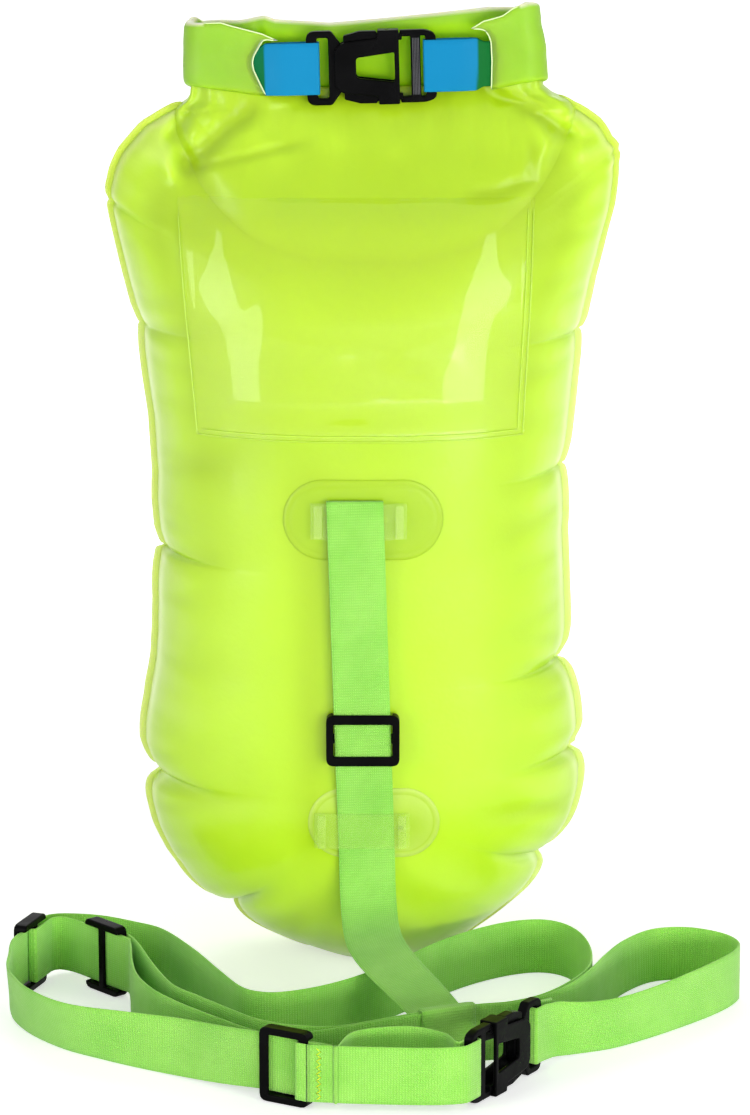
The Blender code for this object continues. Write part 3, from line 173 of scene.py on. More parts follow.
class Nodes:
    """A material's node tree with short calls for the nodes used here."""

    def __init__(self, name, color, roughness):
        self.material = bpy.data.materials.new(name)
        self.material.use_nodes = True
        self.tree = self.material.node_tree
        self.shader = self.tree.nodes["Principled BSDF"]
        self.shader.inputs["Base Color"].default_value = (*color, 1.0)
        self.shader.inputs["Roughness"].default_value = roughness

    def add(self, kind, **values):
        node = self.tree.nodes.new(kind)
        for key, value in values.items():
            setattr(node, key, value)
        return node

    def link(self, source, target):
        self.tree.links.new(source, target)

    def place(self, stretch=(1.0, 1.0, 1.0)):
        """Object coordinates in metres, stretched along each axis."""
        coordinates = self.add("ShaderNodeTexCoord")
        mapping = self.add("ShaderNodeMapping")
        mapping.inputs["Scale"].default_value = stretch
        self.link(coordinates.outputs["Object"], mapping.inputs["Vector"])
        return mapping.outputs["Vector"]

    def strip(self):
        """Metres along and across a strap, from its own map."""
        uv = self.add("ShaderNodeUVMap", uv_map="strip")
        split = self.add("ShaderNodeSeparateXYZ")
        self.link(uv.outputs["UV"], split.inputs[0])
        return split.outputs["X"], split.outputs["Y"]

    def noise(self, vector, scale, detail=2.0):
        node = self.add("ShaderNodeTexNoise")
        node.inputs["Scale"].default_value = scale
        node.inputs["Detail"].default_value = detail
        self.link(vector, node.inputs["Vector"])
        return node.outputs["Fac"]

    def math(self, operation, a, b=None):
        node = self.add("ShaderNodeMath", operation=operation)
        for socket, value in zip(node.inputs, (a, b)):
            if value is None:
                continue
            if isinstance(value, (int, float)):
                socket.default_value = value
            else:
                self.link(value, socket)
        return node.outputs[0]

    def spread(self, value, low, high, to_low=0.0, to_high=1.0):
        return map_range(self.tree, value, low, high, to_low, to_high)

    def mix(self, share, a, b):
        """Mix of two colours; each is a tuple or a socket."""
        node = self.add("ShaderNodeMix", data_type="RGBA")
        self.link(share, node.inputs["Factor"])
        for socket, value in zip((node.inputs[6], node.inputs[7]), (a, b)):
            if isinstance(value, tuple):
                socket.default_value = (*value, 1.0)
            else:
                self.link(value, socket)
        return node.outputs[2]

    def attribute(self, name):
        return self.add("ShaderNodeAttribute", attribute_name=name).outputs["Fac"]

    def color(self, socket):
        self.link(socket, self.shader.inputs["Base Color"])

    def rough(self, value, low, high):
        self.link(self.spread(value, 0.3, 0.7, low, high), self.shader.inputs["Roughness"])

    def bump(self, *heights):
        """Chain of bumps; each is a height socket and a depth in metres."""
        normal = None
        for height, depth in heights:
            node = self.add("ShaderNodeBump")
            node.inputs["Strength"].default_value = 1.0
            node.inputs["Distance"].default_value = depth
            self.link(height, node.inputs["Height"])
            if normal is not None:
                self.link(normal, node.inputs["Normal"])
            normal = node.outputs["Normal"]
        self.link(normal, self.shader.inputs["Normal"])


def film_material(name, base, deep, pale, rough, soft=0.0, coat=0.0, gloss=0.5):
    """Coated air-tight film: its tone attribute runs from deep, 0, over base, 0.5, to pale, 1."""
    n = Nodes(name, base, rough)
    place = n.place()
    tone = n.attribute("tone")
    cloud = n.spread(n.noise(place, 9.0, 3.0), 0.3, 0.7, -0.06, 0.06)
    tone = n.math("ADD", tone, cloud)
    low = n.mix(n.spread(tone, 0.0, 0.5), deep, base)
    n.color(n.mix(n.spread(tone, 0.5, 1.0), low, pale))
    n.rough(n.noise(place, 35.0, 3.0), rough - 0.05, rough + 0.07)
    n.bump((n.noise(place, 700.0, 2.0), 0.00003), (n.noise(place, 60.0, 3.0), 0.0005))
    n.shader.inputs["Subsurface Weight"].default_value = soft
    n.shader.inputs["Subsurface Radius"].default_value = (0.018, 0.024, 0.004)
    n.shader.inputs["Specular IOR Level"].default_value = gloss
    n.shader.inputs["Subsurface Scale"].default_value = 1.0
    n.shader.inputs["Coat Weight"].default_value = coat
    n.shader.inputs["Coat Roughness"].default_value = 0.12
    return n.material


def webbing_material(name, base, shade_color):
    """Flat woven webbing: ribs across, fine warp columns along, firm selvage at both edges."""
    n = Nodes(name, base, 0.78)
    along, across = n.strip()
    place = n.place()
    rib = n.math("SINE", n.math("MULTIPLY", along, 2 * math.pi / 0.00145))
    warp = n.math("SINE", n.math("MULTIPLY", across, 2 * math.pi / 0.00115))
    weave = n.math("MULTIPLY", rib, warp)
    height = n.math("ADD", n.math("MULTIPLY", rib, 0.35), n.math("MULTIPLY", weave, 0.40))
    height = n.math("ADD", height, n.math("MULTIPLY", warp, 0.25))
    share = n.spread(height, -1.0, 1.0)
    edge = n.spread(n.math("ABSOLUTE", across), 0.0128, 0.0142, 0.0, 1.0)
    worn = n.spread(n.noise(place, 40.0, 3.0), 0.3, 0.7, 0.0, 0.3)
    tone = n.math("ADD", n.math("MULTIPLY", share, 0.7), worn)
    tone = n.math("SUBTRACT", tone, n.math("MULTIPLY", edge, 0.12))
    # the weave's low parts take the shade colour as painted shade in its hollows; worn adds random wear
    n.color(n.mix(tone, shade_color, base))
    n.rough(n.noise(place, 300.0, 2.0), 0.7, 0.88)
    n.bump((height, 0.00022), (n.noise(place, 2500.0, 2.0), 0.00005))
    n.shader.inputs["Sheen Weight"].default_value = 0.25
    n.shader.inputs["Subsurface Weight"].default_value = 0.3
    n.shader.inputs["Subsurface Radius"].default_value = (0.004, 0.005, 0.002)
    n.shader.inputs["Subsurface Scale"].default_value = 1.0
    n.shader.inputs["Sheen Roughness"].default_value = 0.5
    return n.material


def plastic_material(name, base, rough, gloss):
    n = Nodes(name, base, rough)
    n.shader.inputs["Specular IOR Level"].default_value = gloss
    place = n.place()
    n.rough(n.noise(place, 90.0, 4.0), rough - 0.06, rough + 0.10)
    fine = n.noise(place, 1600.0, 3.0)
    lighter = tuple(min(1.0, c * 1.6 + 0.001) for c in base)
    n.color(n.mix(n.spread(n.noise(place, 50.0, 3.0), 0.35, 0.7), base, lighter))
    n.bump((fine, 0.00004), (n.noise(place, 120.0, 2.0), 0.00015))
    return n.material


def clear_material(name, base, alpha, rough, gloss):
    n = Nodes(name, base, rough)
    place = n.place()
    n.bump((n.noise(place, 45.0, 2.0), 0.0003), (n.noise(place, 250.0, 1.0), 0.000008))
    n.color(n.mix(n.noise(place, 20.0, 2.0), base, tuple(min(1.0, c * 1.12) for c in base)))
    n.shader.inputs["Alpha"].default_value = alpha
    n.shader.inputs["Coat Weight"].default_value = 1.0
    n.shader.inputs["Coat Roughness"].default_value = 0.04
    n.shader.inputs["Coat IOR"].default_value = gloss
    return n.material


# Each film's base, deep and pale colours, roughness, softness, coat and gloss
AIR = film_material(
    "air_film", (0.485, 0.76, 0.020), (0.345, 0.53, 0.004), (0.68, 0.93, 0.18), 0.34, 0.25, 0.15)
RIM = film_material(
    "rim_film", (0.50, 0.77, 0.06), (0.45, 0.72, 0.03), (0.74, 0.95, 0.26), 0.4, 0.5, 0.0, 0.3)
ROLL = film_material(
    "roll_film", (0.275, 0.52, 0.040), (0.34, 0.64, 0.002), (0.88, 0.97, 0.62), 0.42, 0.6, 0.0, 0.22)
PATCH = film_material(
    "patch_film", (0.38, 0.59, 0.016), (0.32, 0.51, 0.006), (0.80, 0.95, 0.32), 0.36, 0.15, 0.1)
TAB = film_material(
    "tab_film", (0.002, 0.200, 0.41), (0.0, 0.12, 0.018), (0.012, 0.26, 0.50), 0.5, gloss=0.15)
EDGE = film_material("cut_edge_film", (0.78, 0.92, 0.48), (0.72, 0.89, 0.40), (0.86, 0.95, 0.60), 0.5)
WELD = film_material("weld_film", (0.52, 0.77, 0.08), (0.46, 0.70, 0.04), (0.60, 0.84, 0.16), 0.3)
WEB = webbing_material("webbing", (0.39, 0.79, 0.14), (0.17, 0.53, 0.04))
BLACK = plastic_material("black_plastic", (0.0012, 0.0012, 0.0014), 0.30, 0.035)
# painted highlight: the buckle's grip ribs are made grey for the light they catch
GREY = plastic_material("painted_highlight_plastic", (0.045, 0.045, 0.05), 0.45, 0.3)
PALE = plastic_material("stiffener_plastic", (0.75, 0.76, 0.72), 0.5, 0.3)
THREAD = plastic_material("thread", (0.62, 0.93, 0.03), 0.6, 0.3)
# the clear film's colour is set brighter than the bladder, so that the bladder seen through it does not look
# darker: painted light that makes up for the film's shade
CLEAR = clear_material("clear_film", (0.77, 1.0, 0.0), 0.08, 0.10, 2.35)
LOOP = clear_material("clear_loop", (0.55, 0.82, 0.16), 0.14, 0.14, 1.5)
STEP = clear_material("clear_step", (0.52, 0.74, 0.14), 0.20, 0.14, 1.6)

# Sizes repeated from the model
GAP = 0.0003
WEB_WIDTH, WEB_THICK = 0.030, 0.0012
FILM = 0.0012
HALF_WIDTH, HEIGHT = 0.1365, 0.4715
FRONT_DEPTH, BACK_DEPTH = 0.075, 0.072
SEAM_REACH, FRONT_REACH, BACK_REACH = 0.0, -0.0036, -0.0040
SPINE_LOW, SPINE_HIGH, FOOT_CUT = 0.100, 0.360, 0.0030
NECK_SHARE, CROWN_POWER, LOBE_POWER = 0.33, 2.4, 2.5
PUCKER_SHARES = (
    (-0.690, 0.998, 0.095),
    (-0.996, 0.887, 0.012),
    (-0.882, 0.747, 0.018),
    (-0.803, 0.488, 0.115),
    (-0.799, 0.226, 0.147),
    (-0.522, 0.073, 0.121),
    (0.150, 0.005, 0.126),
    (0.707, 0.128, 0.093),
    (0.841, 0.250, 0.055),
    (0.785, 0.356, 0.042),
    (0.785, 0.584, 0.027),
    (0.846, 0.740, 0.034),
    (0.999, 0.943, 0.045),
    (0.748, 1.004, 0.004),
)

# Mesh helpers


def outward(piece):
    made = bmesh.new()
    made.from_mesh(piece.data)
    bmesh.ops.recalc_face_normals(made, faces=made.faces)
    made.to_mesh(piece.data)
    made.free()


def new_object(name, verts, faces, material, body="float", replaced=(), tones=None, maps=None):
    """A smooth closed piece. Its tones are one for each vertex, and so are its maps, metres along and across
    a strap."""
    mesh = bpy.data.meshes.new(name)
    mesh.from_pydata([tuple(v) for v in verts], [], faces)
    mesh.validate()
    piece = bpy.data.objects.new(name, mesh)
    bpy.context.scene.collection.objects.link(piece)
    mesh.materials.append(material)
    mesh.shade_smooth()
    if maps:
        layer = mesh.uv_layers.new(name="strip")
        for loop in mesh.loops:
            layer.data[loop.index].uv = maps[loop.vertex_index]
    if tones is not None:
        set_tone(piece, tones)
    outward(piece)
    if body:
        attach(piece, body)
    if replaced:
        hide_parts(*replaced)
    return piece


def band_faces(start, after, count):
    """Quads between two closed rings of count points, which start at the vertices start and after."""
    faces = []
    for k in range(count):
        j = (k + 1) % count
        faces.append((start + k, start + j, after + j, after + k))
    return faces


def set_tone(piece, values):
    attribute = piece.data.attributes.new("tone", "FLOAT", "POINT")
    attribute.data.foreach_set("value", np.asarray(values, np.float32))


def ease(x, low, high):
    t = np.clip((x - low) / (high - low), 0.0, 1.0)
    return t * t * (3 - 2 * t)


def look(table, x):
    """The value at x of a table of x and value."""
    xs, ys = zip(*table)
    return float(np.interp(x, xs, ys))


# Inflated body


def pucker(i):
    across, up, swell = PUCKER_SHARES[i % len(PUCKER_SHARES)]
    place = np.array((across * HALF_WIDTH, up * (HEIGHT + FOOT_CUT) - FOOT_CUT))
    return place, swell * HALF_WIDTH


# How far the fabric pulls in from the model's even lobes, by height, on the left and on the right, in metres
PULL_LEFT = (
    (0.050, -0.0009), (0.0563, -0.0019), (0.0720, -0.0019), (0.0805, -0.0014), (0.0962, -0.0025),
    (0.1040, -0.0012), (0.1202, -0.0015), (0.1280, 0.0), (0.1360, 0.0018), (0.1441, 0.0040),
    (0.1520, 0.0054), (0.1600, 0.0072), (0.1678, 0.0086), (0.1836, 0.0094), (0.1990, 0.0088),
    (0.2150, 0.0062), (0.2230, 0.0044), (0.2307, 0.0), (0.2390, -0.0014), (0.2540, -0.0009),
    (0.2619, 0.0), (0.2700, 0.0012), (0.2860, 0.0017), (0.3006, 0.0022), (0.3237, 0.0008),
    (0.3390, 0.0), (0.3540, 0.0), (0.3619, -0.0009), (0.4151, -0.0009), (0.4226, 0.0018),
    (0.4302, 0.0020), (0.4377, 0.0008), (0.4452, -0.0002), (0.4527, 0.0003), (0.4602, 0.0006),
    (0.4650, 0.0024), (0.4700, 0.0034),
)
PULL_RIGHT = (
    (0.050, -0.0008), (0.056, 0.0024), (0.064, 0.0007), (0.0721, -0.0009), (0.0805, -0.0014),
    (0.0962, -0.0006), (0.1124, 0.0002), (0.1202, 0.0020), (0.1280, -0.0009), (0.1441, -0.0014),
    (0.1600, -0.0006), (0.1678, 0.0014), (0.1757, -0.0014), (0.1836, -0.0019), (0.1915, -0.0014),
    (0.2072, -0.0003), (0.2307, 0.0007), (0.2390, 0.0010), (0.2463, 0.0002), (0.2700, -0.0006),
    (0.2860, -0.0014), (0.3006, -0.0008), (0.3237, -0.0004), (0.3540, -0.0012), (0.3619, -0.0003),
    (0.3770, 0.0006), (0.3999, 0.0002), (0.4151, -0.0007), (0.4302, 0.0002), (0.4377, 0.0010),
    (0.4452, -0.0004), (0.4527, 0.0015), (0.4602, -0.0008), (0.4677, 0.0), (0.4710, 0.0010),
)


def fine_outline(reach, step=0.0022):
    """The seam line as x and z, with the distance run along it and where the puckers lie on it."""
    found, marks = [], []
    for i in range(len(PUCKER_SHARES)):
        start, swell = pucker(i)
        end, _ = pucker(i + 1)
        run = end - start
        length = np.linalg.norm(run)
        out = np.array((run[1], -run[0])) / length
        steps = max(12, int(length / step))
        marks.append(len(found))
        for k in range(steps):
            share = (1 - math.cos(math.pi * k / steps)) / 2 * 0.6 + k / steps * 0.4
            height = (1 - abs(2 * share - 1) ** LOBE_POWER) ** (1 / LOBE_POWER)
            found.append(start + run * share + out * swell * height)
    points = np.array(found)
    middle = np.stack([np.zeros(len(points)), np.clip(points[:, 1], SPINE_LOW, SPINE_HIGH)], 1)
    away = points - middle
    size = np.linalg.norm(away, axis=1, keepdims=True)
    left, right = (np.interp(points[:, 1], *zip(*table)) for table in (PULL_LEFT, PULL_RIGHT))
    pull = np.where(points[:, 0] < 0, left, right) * ease(np.abs(points[:, 0]), 0.070, 0.100)
    points = middle + away * (1 + (reach - pull[:, None]) / size)
    gaps = np.linalg.norm(np.roll(points, -1, 0) - points, axis=1)
    run = np.concatenate([[0.0], np.cumsum(gaps)[:-1]])
    return points, run, gaps.sum(), [run[m] for m in marks]


# Folds of the front film: points as x and z, height outwards, half width and how much paler, in metres. How
# much paler is painted light along a ridge and, when negative, painted shade along a hollow.
FRONT_FOLDS = (
    (((-0.1058, 0.4700), (-0.1069, 0.4608), (-0.1034, 0.4451), (-0.0984, 0.4292)), 0.0030, 0.0050, 0.25),
    (((-0.1000, 0.4340), (-0.0875, 0.4447), (-0.0691, 0.4615), (-0.0523, 0.4730)), -0.0042, 0.0055, -0.40),
    (((-0.0982, 0.4356), (-0.0794, 0.4409), (-0.0585, 0.4456), (-0.0376, 0.4503), (-0.0250, 0.4535)),
     -0.0012, 0.0024, -0.16),
    (((-0.0905, 0.4740), (-0.0958, 0.4622), (-0.1060, 0.4480)), -0.0032, 0.0040, -0.28),
    (((0.0640, 0.4770), (0.0799, 0.4740), (0.0931, 0.4665), (0.1036, 0.4575), (0.1194, 0.4507)),
     -0.0050, 0.0042, -0.42),
    (((0.0509, 0.4251), (0.0718, 0.4272), (0.0895, 0.4330), (0.0900, 0.4480), (0.0860, 0.4640)),
     -0.0016, 0.0040, -0.22),
    (((0.1090, 0.4690), (0.1130, 0.4560), (0.1180, 0.4400)), 0.0018, 0.0045, 0.12),
    (((-0.1200, 0.4510), (-0.1060, 0.4420), (-0.0960, 0.4300)), 0.0020, 0.0045, 0.18),
    (((-0.0400, 0.4700), (-0.0250, 0.4600), (-0.0050, 0.4500)), 0.0012, 0.0080, 0.06),
    (((0.0350, 0.4680), (0.0260, 0.4560), (0.0120, 0.4450)), 0.0010, 0.0080, 0.05),
    (((-0.0620, 0.4640), (-0.0500, 0.4520), (-0.0350, 0.4400)), 0.0010, 0.0060, 0.05),
)


def fold_field(points, folds):
    """Outward height of the folds at x, z points, and their painted light and shade as tone."""
    height, tone = np.zeros(len(points)), np.zeros(len(points))
    for line, amount, width, pale in folds:
        line = np.array(line)
        runs = np.linalg.norm(line[1:] - line[:-1], axis=1)
        total = runs.sum()
        best = np.full(len(points), 1e9)
        where = np.zeros(len(points))
        before = 0.0
        for a, b, length in zip(line, line[1:], runs):
            t = np.clip(((points - a) @ (b - a)) / length**2, 0, 1)
            d = np.linalg.norm(points - a - t[:, None] * (b - a), axis=1)
            near = d < best
            best[near] = d[near]
            where[near] = ((before + t * length) / total)[near]
            before += length
        fade = ease(where, -0.02, 0.22) * (1 - ease(where, 0.75, 1.02))
        fade = np.where((where <= 0) | (where >= 1), 0.15, 0.15 + fade * 0.85)
        shape = np.exp(-((best / width) ** 2)) * fade
        height += amount * shape
        tone += pale * shape
    return height, tone


def crown(share, height, depth):
    """Depth of the even crown: share 0 at the spine, 1 at the seam."""
    rise = np.clip((height - SPINE_HIGH) / (HEIGHT - SPINE_HIGH), 0.0, 1.0)
    taper = 1 - (1 - NECK_SHARE) * rise * rise * (3 - 2 * rise)
    return depth * taper * np.sqrt(np.maximum(0.0, 1 - share**CROWN_POWER))


def painted_upper_shade(height):
    """Painted shade: the film's tone is made a little deeper in the upper half."""
    return 0.34 * ease(height, 0.12, 0.36)


CHAMBER_RINGS, RIPPLE, CHAMBER_FILL = 64, 0.0011, 0.95
# A pucker's depth and how far in it reaches, at the sides and at the top
PUCKER, TOP_PUCKER = (0.0038, 0.015), (0.0020, 0.016)
WRINKLE_PITCH = 0.013
WRINKLE_DEPTH, WRINKLE_REACH, WRINKLE_LEAN = (0.0005, 0.0022), (0.016, 0.045), (-0.35, 0.35)
# A painted shadow of the leash: a soft darker band on the front film beside it
LEASH_SHADOW_X, LEASH_SHADOW_WIDTH, LEASH_SHADOW_TONE = -0.027, 0.011, 0.28


def small_wrinkles(marks, total, seed):
    """Small wrinkles between the puckers: place along the seam, depth, reach inwards and lean of each."""
    rng = np.random.RandomState(seed)
    found = []
    for mark, after in zip(marks, marks[1:]):
        count = int((after - mark) / WRINKLE_PITCH)
        for k in range(count):
            place = mark + (after - mark) * (k + 0.5 + rng.uniform(-0.35, 0.35)) / count
            shape = [rng.uniform(*limits) for limits in (WRINKLE_DEPTH, WRINKLE_REACH, WRINKLE_LEAN)]
            found.append((place % total, *shape))
    return found


def seam_relief(run, total, marks, wrinkles, share, inward, bulge):
    """Height that the seam's puckers and wrinkles give one ring of the film, and its tone: painted shade in
    their dimples and creases, painted light on the ridges beside them.
    """
    change, tone = np.zeros(len(run)), np.zeros(len(run))
    for i, mark in enumerate(marks):
        across = np.abs((run - mark + total / 2) % total - total / 2) * share
        amount, reach = TOP_PUCKER if i in (0, len(marks) - 1) else PUCKER
        width = 0.0024 + 0.27 * inward
        fade = np.exp(-((inward / reach) ** 1.6))
        dimple = np.exp(-((across / width) ** 2)) * fade
        beside = np.exp(-(((across - width * 1.9) / width) ** 2)) * fade
        change += amount * (0.22 * beside - dimple) * bulge**0.5
        # painted light on the ridges beside each pucker, painted shade in its dimple
        tone += 0.10 * beside - 0.16 * dimple
    for place, amount, reach, lean in wrinkles:
        across = (run - place + total / 2) % total - total / 2 + lean * inward
        width = 0.0026 + 0.13 * inward
        crease = np.exp(-((across * share / width) ** 2) - (inward / reach) ** 2)
        crease *= ease(inward, 0.0, 0.007)
        change -= amount * crease * bulge**0.7
        # painted shade along each wrinkle's crease
        tone -= 90 * amount * crease
    return change, tone


def film_tone(flat, inward, soft, side):
    """The film's tone: paler near the seam, with painted shade deeper in the upper half and a painted shadow
    in a band beside the leash.
    """
    tone = 0.5 + 0.04 * soft - painted_upper_shade(flat[:, 1]) * ease(inward, 0.010, 0.030)
    if side < 0:
        # painted shadow of the leash: a darker band beside it, over this span of heights
        band = ease(flat[:, 1], 0.050, 0.100) * (1 - ease(flat[:, 1], 0.250, 0.300))
        tone -= LEASH_SHADOW_TONE * np.exp(-(((flat[:, 0] - LEASH_SHADOW_X) / LEASH_SHADOW_WIDTH) ** 2)) * band
    tone += 0.34 * np.exp(-(((inward - 0.0018) / 0.0018) ** 2))
    return tone + 0.10 * np.exp(-((inward / 0.030) ** 2))


def ripple(x, z, side):
    return noise.noise(Vector((x * 16, side * 3.1, z * 16)))


def chamber_rings(edge, run, total, marks, depth, side, folds, seed):
    """Points and tones of a chamber's film, ring by ring from the seam inwards."""
    count = len(edge)
    middle = np.stack([np.zeros(count), np.clip(edge[:, 1], SPINE_LOW, SPINE_HIGH)], 1)
    away = edge - middle
    size = np.linalg.norm(away, axis=1)
    # further in, the film forgets the notches of its edge
    blur = np.exp(-((np.arange(-30, 31) / 12.0) ** 2))
    smooth = np.convolve(np.concatenate([size[-30:], size, size[:30]]), blur / blur.sum(), mode="valid")
    wrinkles = small_wrinkles(marks, total, seed)
    verts, tones = [], []
    for share in 1 - np.linspace(0.0, 1.0, CHAMBER_RINGS) ** 1.75 * 0.985:
        calmed = float(ease(1 - share, 0.03, 0.42))
        flat = middle + away * (share * (1 - calmed + calmed * smooth / size))[:, None]
        inward = (1 - share) * size
        bulge = np.sqrt(np.maximum(0.0, 1 - share**CROWN_POWER))
        deep = crown(share, flat[:, 1], depth)
        neck = ease(flat[:, 1], 0.438, 0.474)
        limit = 0.0052 + np.maximum(0.0, 0.4765 - flat[:, 1]) * 1.15
        deep = deep * (1 - neck) + np.minimum(deep, limit) * neck
        change, tone = seam_relief(run, total, marks, wrinkles, share, inward, bulge)
        if folds:
            height, pale = fold_field(flat, folds)
            change += height * np.minimum(1.0, bulge * 2.5)
            # painted light and shade of the folds
            tone += pale
        soft = np.array([ripple(x, z, side) for x, z in flat])
        calm = 0.12 + 0.88 * ease(np.abs(flat[:, 0]), 0.022, 0.060) if side < 0 else 1.0
        change += soft * RIPPLE * bulge * calm
        y = side * (FILM / 2 + GAP + np.maximum(deep + change, 0.0))
        verts += zip(flat[:, 0], y, np.maximum(flat[:, 1], 0.0))
        tones.extend(tone + film_tone(flat, inward, soft, side))
    return verts, tones


def make_chamber(name, depth, side, reach, folds, node, seed):
    """One inflated chamber: crowned film from the seam to the spine, and a flat inner wall."""
    edge, run, total, marks = fine_outline(reach)
    verts, tones = chamber_rings(edge, run, total, marks, depth, side, folds, seed)
    count = len(edge)
    last = len(verts) - count
    faces = [face for r in range(CHAMBER_RINGS - 1) for face in band_faces(r * count, (r + 1) * count, count)]
    # close the slot along the spine
    spine = len(verts)
    heights = np.linspace(SPINE_LOW, SPINE_HIGH, 90)
    for z in heights:
        soft = ripple(0.0, z, side)
        y = FILM / 2 + GAP + crown(0.0, np.array([z]), depth)[0] + soft * RIPPLE * (0.12 if side < 0 else 1.0)
        verts.append((0.0, side * y, z))
        # painted shade: the spine's tone is deeper in the upper half too
        tones.append(0.5 + 0.04 * soft - float(painted_upper_shade(z)))
    nearest = [int(np.argmin(np.abs(heights - z))) for _, _, z in verts[last:spine]]
    for k in range(count):
        j = (k + 1) % count
        low, high = sorted((nearest[k], nearest[j]))
        chain = list(range(spine + low, spine + high + 1))
        faces.append((last + k, last + j, *(chain[::-1] if nearest[k] <= nearest[j] else chain)))
    # the flat inner wall
    inner = len(verts)
    verts += [(x, side * (FILM / 2 + GAP) * 0.9, max(z, 0.0)) for x, z in edge]
    tones += [0.5] * count
    for k in range(count):
        j = (k + 1) % count
        faces.append((j, k, inner + k, inner + j))
    faces.append(tuple(range(inner, inner + count)))
    piece = new_object(name, verts, faces, AIR, replaced=(node,), tones=tones)
    return piece


body_front = make_chamber("body_front", FRONT_DEPTH, -1, FRONT_REACH, FRONT_FOLDS, "front_chamber", 5)
body_back = make_chamber("body_back", BACK_DEPTH, 1, BACK_REACH, (), "back_chamber", 8)


def surface(piece):
    made = bmesh.new()
    made.from_mesh(piece.data)
    tree = BVHTree.FromBMesh(made)
    made.free()
    return tree


FRONT, BACK = surface(body_front), surface(body_back)
FRONT_FILMS = [FRONT]


def on_front(x, z):
    """Place and outward direction of the front film at x, z."""
    hits = [tree.ray_cast(Vector((x, -0.3, z)), Vector((0, 1, 0)))[:2] for tree in FRONT_FILMS]
    hit, normal = min((h for h in hits if h[0] is not None), key=lambda h: h[0].y)
    if normal.y > 0:
        normal = -normal
    return hit, normal


def on_back(x, z):
    hit, normal, _, _ = BACK.ray_cast(Vector((x, 0.3, z)), Vector((0, -1, 0)))
    if normal.y < 0:
        normal = -normal
    return hit, normal


def make_seam():
    """The welded rim all round: a flat band with a pressed line and soft ripples."""
    outer, run = fine_outline(SEAM_REACH, 0.003)[:2]
    inner = fine_outline(FRONT_REACH - 0.0035, 0.003)[0]
    count = len(outer)
    verts, tones = [], []
    for share, half in ((0.0, 0.0005), (0.35, 0.0005), (0.75, 0.0006), (0.95, 0.0005), (1.0, 0.0002)):
        for side in (-1, 1):
            for k in range(count):
                p = inner[k] * (1 - share) + outer[k] * share
                wave = 0.0004 * math.sin(run[k] * 210) * share
                verts.append((p[0], side * half + wave, max(p[1], 0.0)))
                # painted light: the rim is made paler below the shoulders than at the top; its outer edge is
                # paler too
                tones.append(0.5 + 0.1 * (share > 0.9) + 0.38 * (1 - float(ease(p[1], 0.34, 0.45))))
    # the front skin runs outwards over the even rings, the back skin inwards over the odd ones
    order = [(0, 2), (3, 1), (2, 4), (5, 3), (4, 6), (7, 5), (6, 8), (9, 7), (8, 9), (1, 0)]
    faces = [face for a, b in order for face in band_faces(a * count, b * count, count)]
    new_object("seam_rim", verts, faces, RIM, replaced=("dry_bag",), tones=tones)


make_seam()

# Neck between the collar and the inflated body
NECK_LOW_EDGE = (
    (-0.0930, 0.4815), (-0.0620, 0.4775), (-0.0430, 0.4785), (0.0, 0.4785), (0.0560, 0.4800),
    (0.0752, 0.4825), (0.0960, 0.4855),
)
NECK_LEFT = (
    (0.4300, -0.1080), (0.4560, -0.1040), (0.4640, -0.1005), (0.4677, -0.0985), (0.4709, -0.0937),
    (0.4725, -0.0925), (0.4752, -0.0915), (0.4860, -0.0905),
)
NECK_RIGHT = (
    (0.4300, 0.1180), (0.4560, 0.1150), (0.4640, 0.1140), (0.4677, 0.1130), (0.4714, 0.1090),
    (0.4752, 0.1006), (0.4789, 0.0962), (0.4860, 0.0950),
)


NECK_COLUMNS, NECK_ROWS = 190, 64


def neck_grid(across):
    """Places of the neck's film as x and z, for each share across from the roll's edge down to its foot."""
    points = []
    for s in across:
        foot = 0.4640 - 0.0800 * (1 - abs(s) ** 3)
        top = look(NECK_LOW_EDGE, 0.0005 + s * 0.0925)
        for z in top + (foot - top) * np.linspace(0, 1, NECK_ROWS + 1):
            left, right = look(NECK_LEFT, z), look(NECK_RIGHT, z)
            points.append((left + (right - left) * (s + 1) / 2, z))
    return np.array(points)


def neck_profile(across, grid, face, side):
    """Where the taut film leaves the roll, how steeply it comes out, how much it bends where it meets the
    crown, and in which row it does."""
    drop = grid[:, :1, 1] - grid[:, :, 1]
    behind_flap = np.where(across < 0, ease(-across, 0.40, 0.62), ease(across, 0.64, 0.80)) * (side < 0)
    roll_y = -0.0050 if side < 0 else 0.0052
    start = np.abs(roll_y - 0.0072 * behind_flap) * (1 - np.abs(across) ** 10) ** 0.5 + 0.0010
    first, last = 3, int(NECK_ROWS * 0.90)
    reach = (face[:, first:last] - start[:, None]) / drop[:, first:last]
    best = np.argmax(reach, 1) + first
    slope = np.maximum(reach.max(1), 0.0)
    below, above = (np.take_along_axis(face, best[:, None] + k, 1)[:, 0] for k in (1, -1))
    bend = np.clip((below - above) / (drop[:, 1] * 2) - slope, 0.0, 0.5)
    kernel = np.hanning(15) / np.hanning(15).sum()
    slope, bend = (np.convolve(np.pad(v, 7, mode="edge"), kernel, mode="valid") for v in (slope, bend))
    return drop, start, slope, bend, best


def neck_tone(x, z, fade, side):
    """The film's tone: the body's own at the foot, fade 0, with its painted shade of the upper half, and a
    little mottled near the roll, fade 1, where a painted shadow of the roll deepens it.
    """
    near_rim = max(0.0, 0.4715 - z)
    shade = float(painted_upper_shade(z))
    # the fade term is a painted shadow just under the roll
    tone = 0.5 + 0.04 * ripple(x, z, side) - 0.06 * fade**4
    tone -= shade * float(ease(near_rim, 0.010, 0.030)) * (1 - fade) + shade * 0.8 * fade
    tone += 0.10 * math.exp(-((near_rim / 0.030) ** 2)) * (1 - float(ease(fade, 0.4, 0.9)))
    return tone + 0.08 * noise.noise(Vector((x * 60, 7.0, z * 25))) * float(ease(fade, 0.4, 0.8))


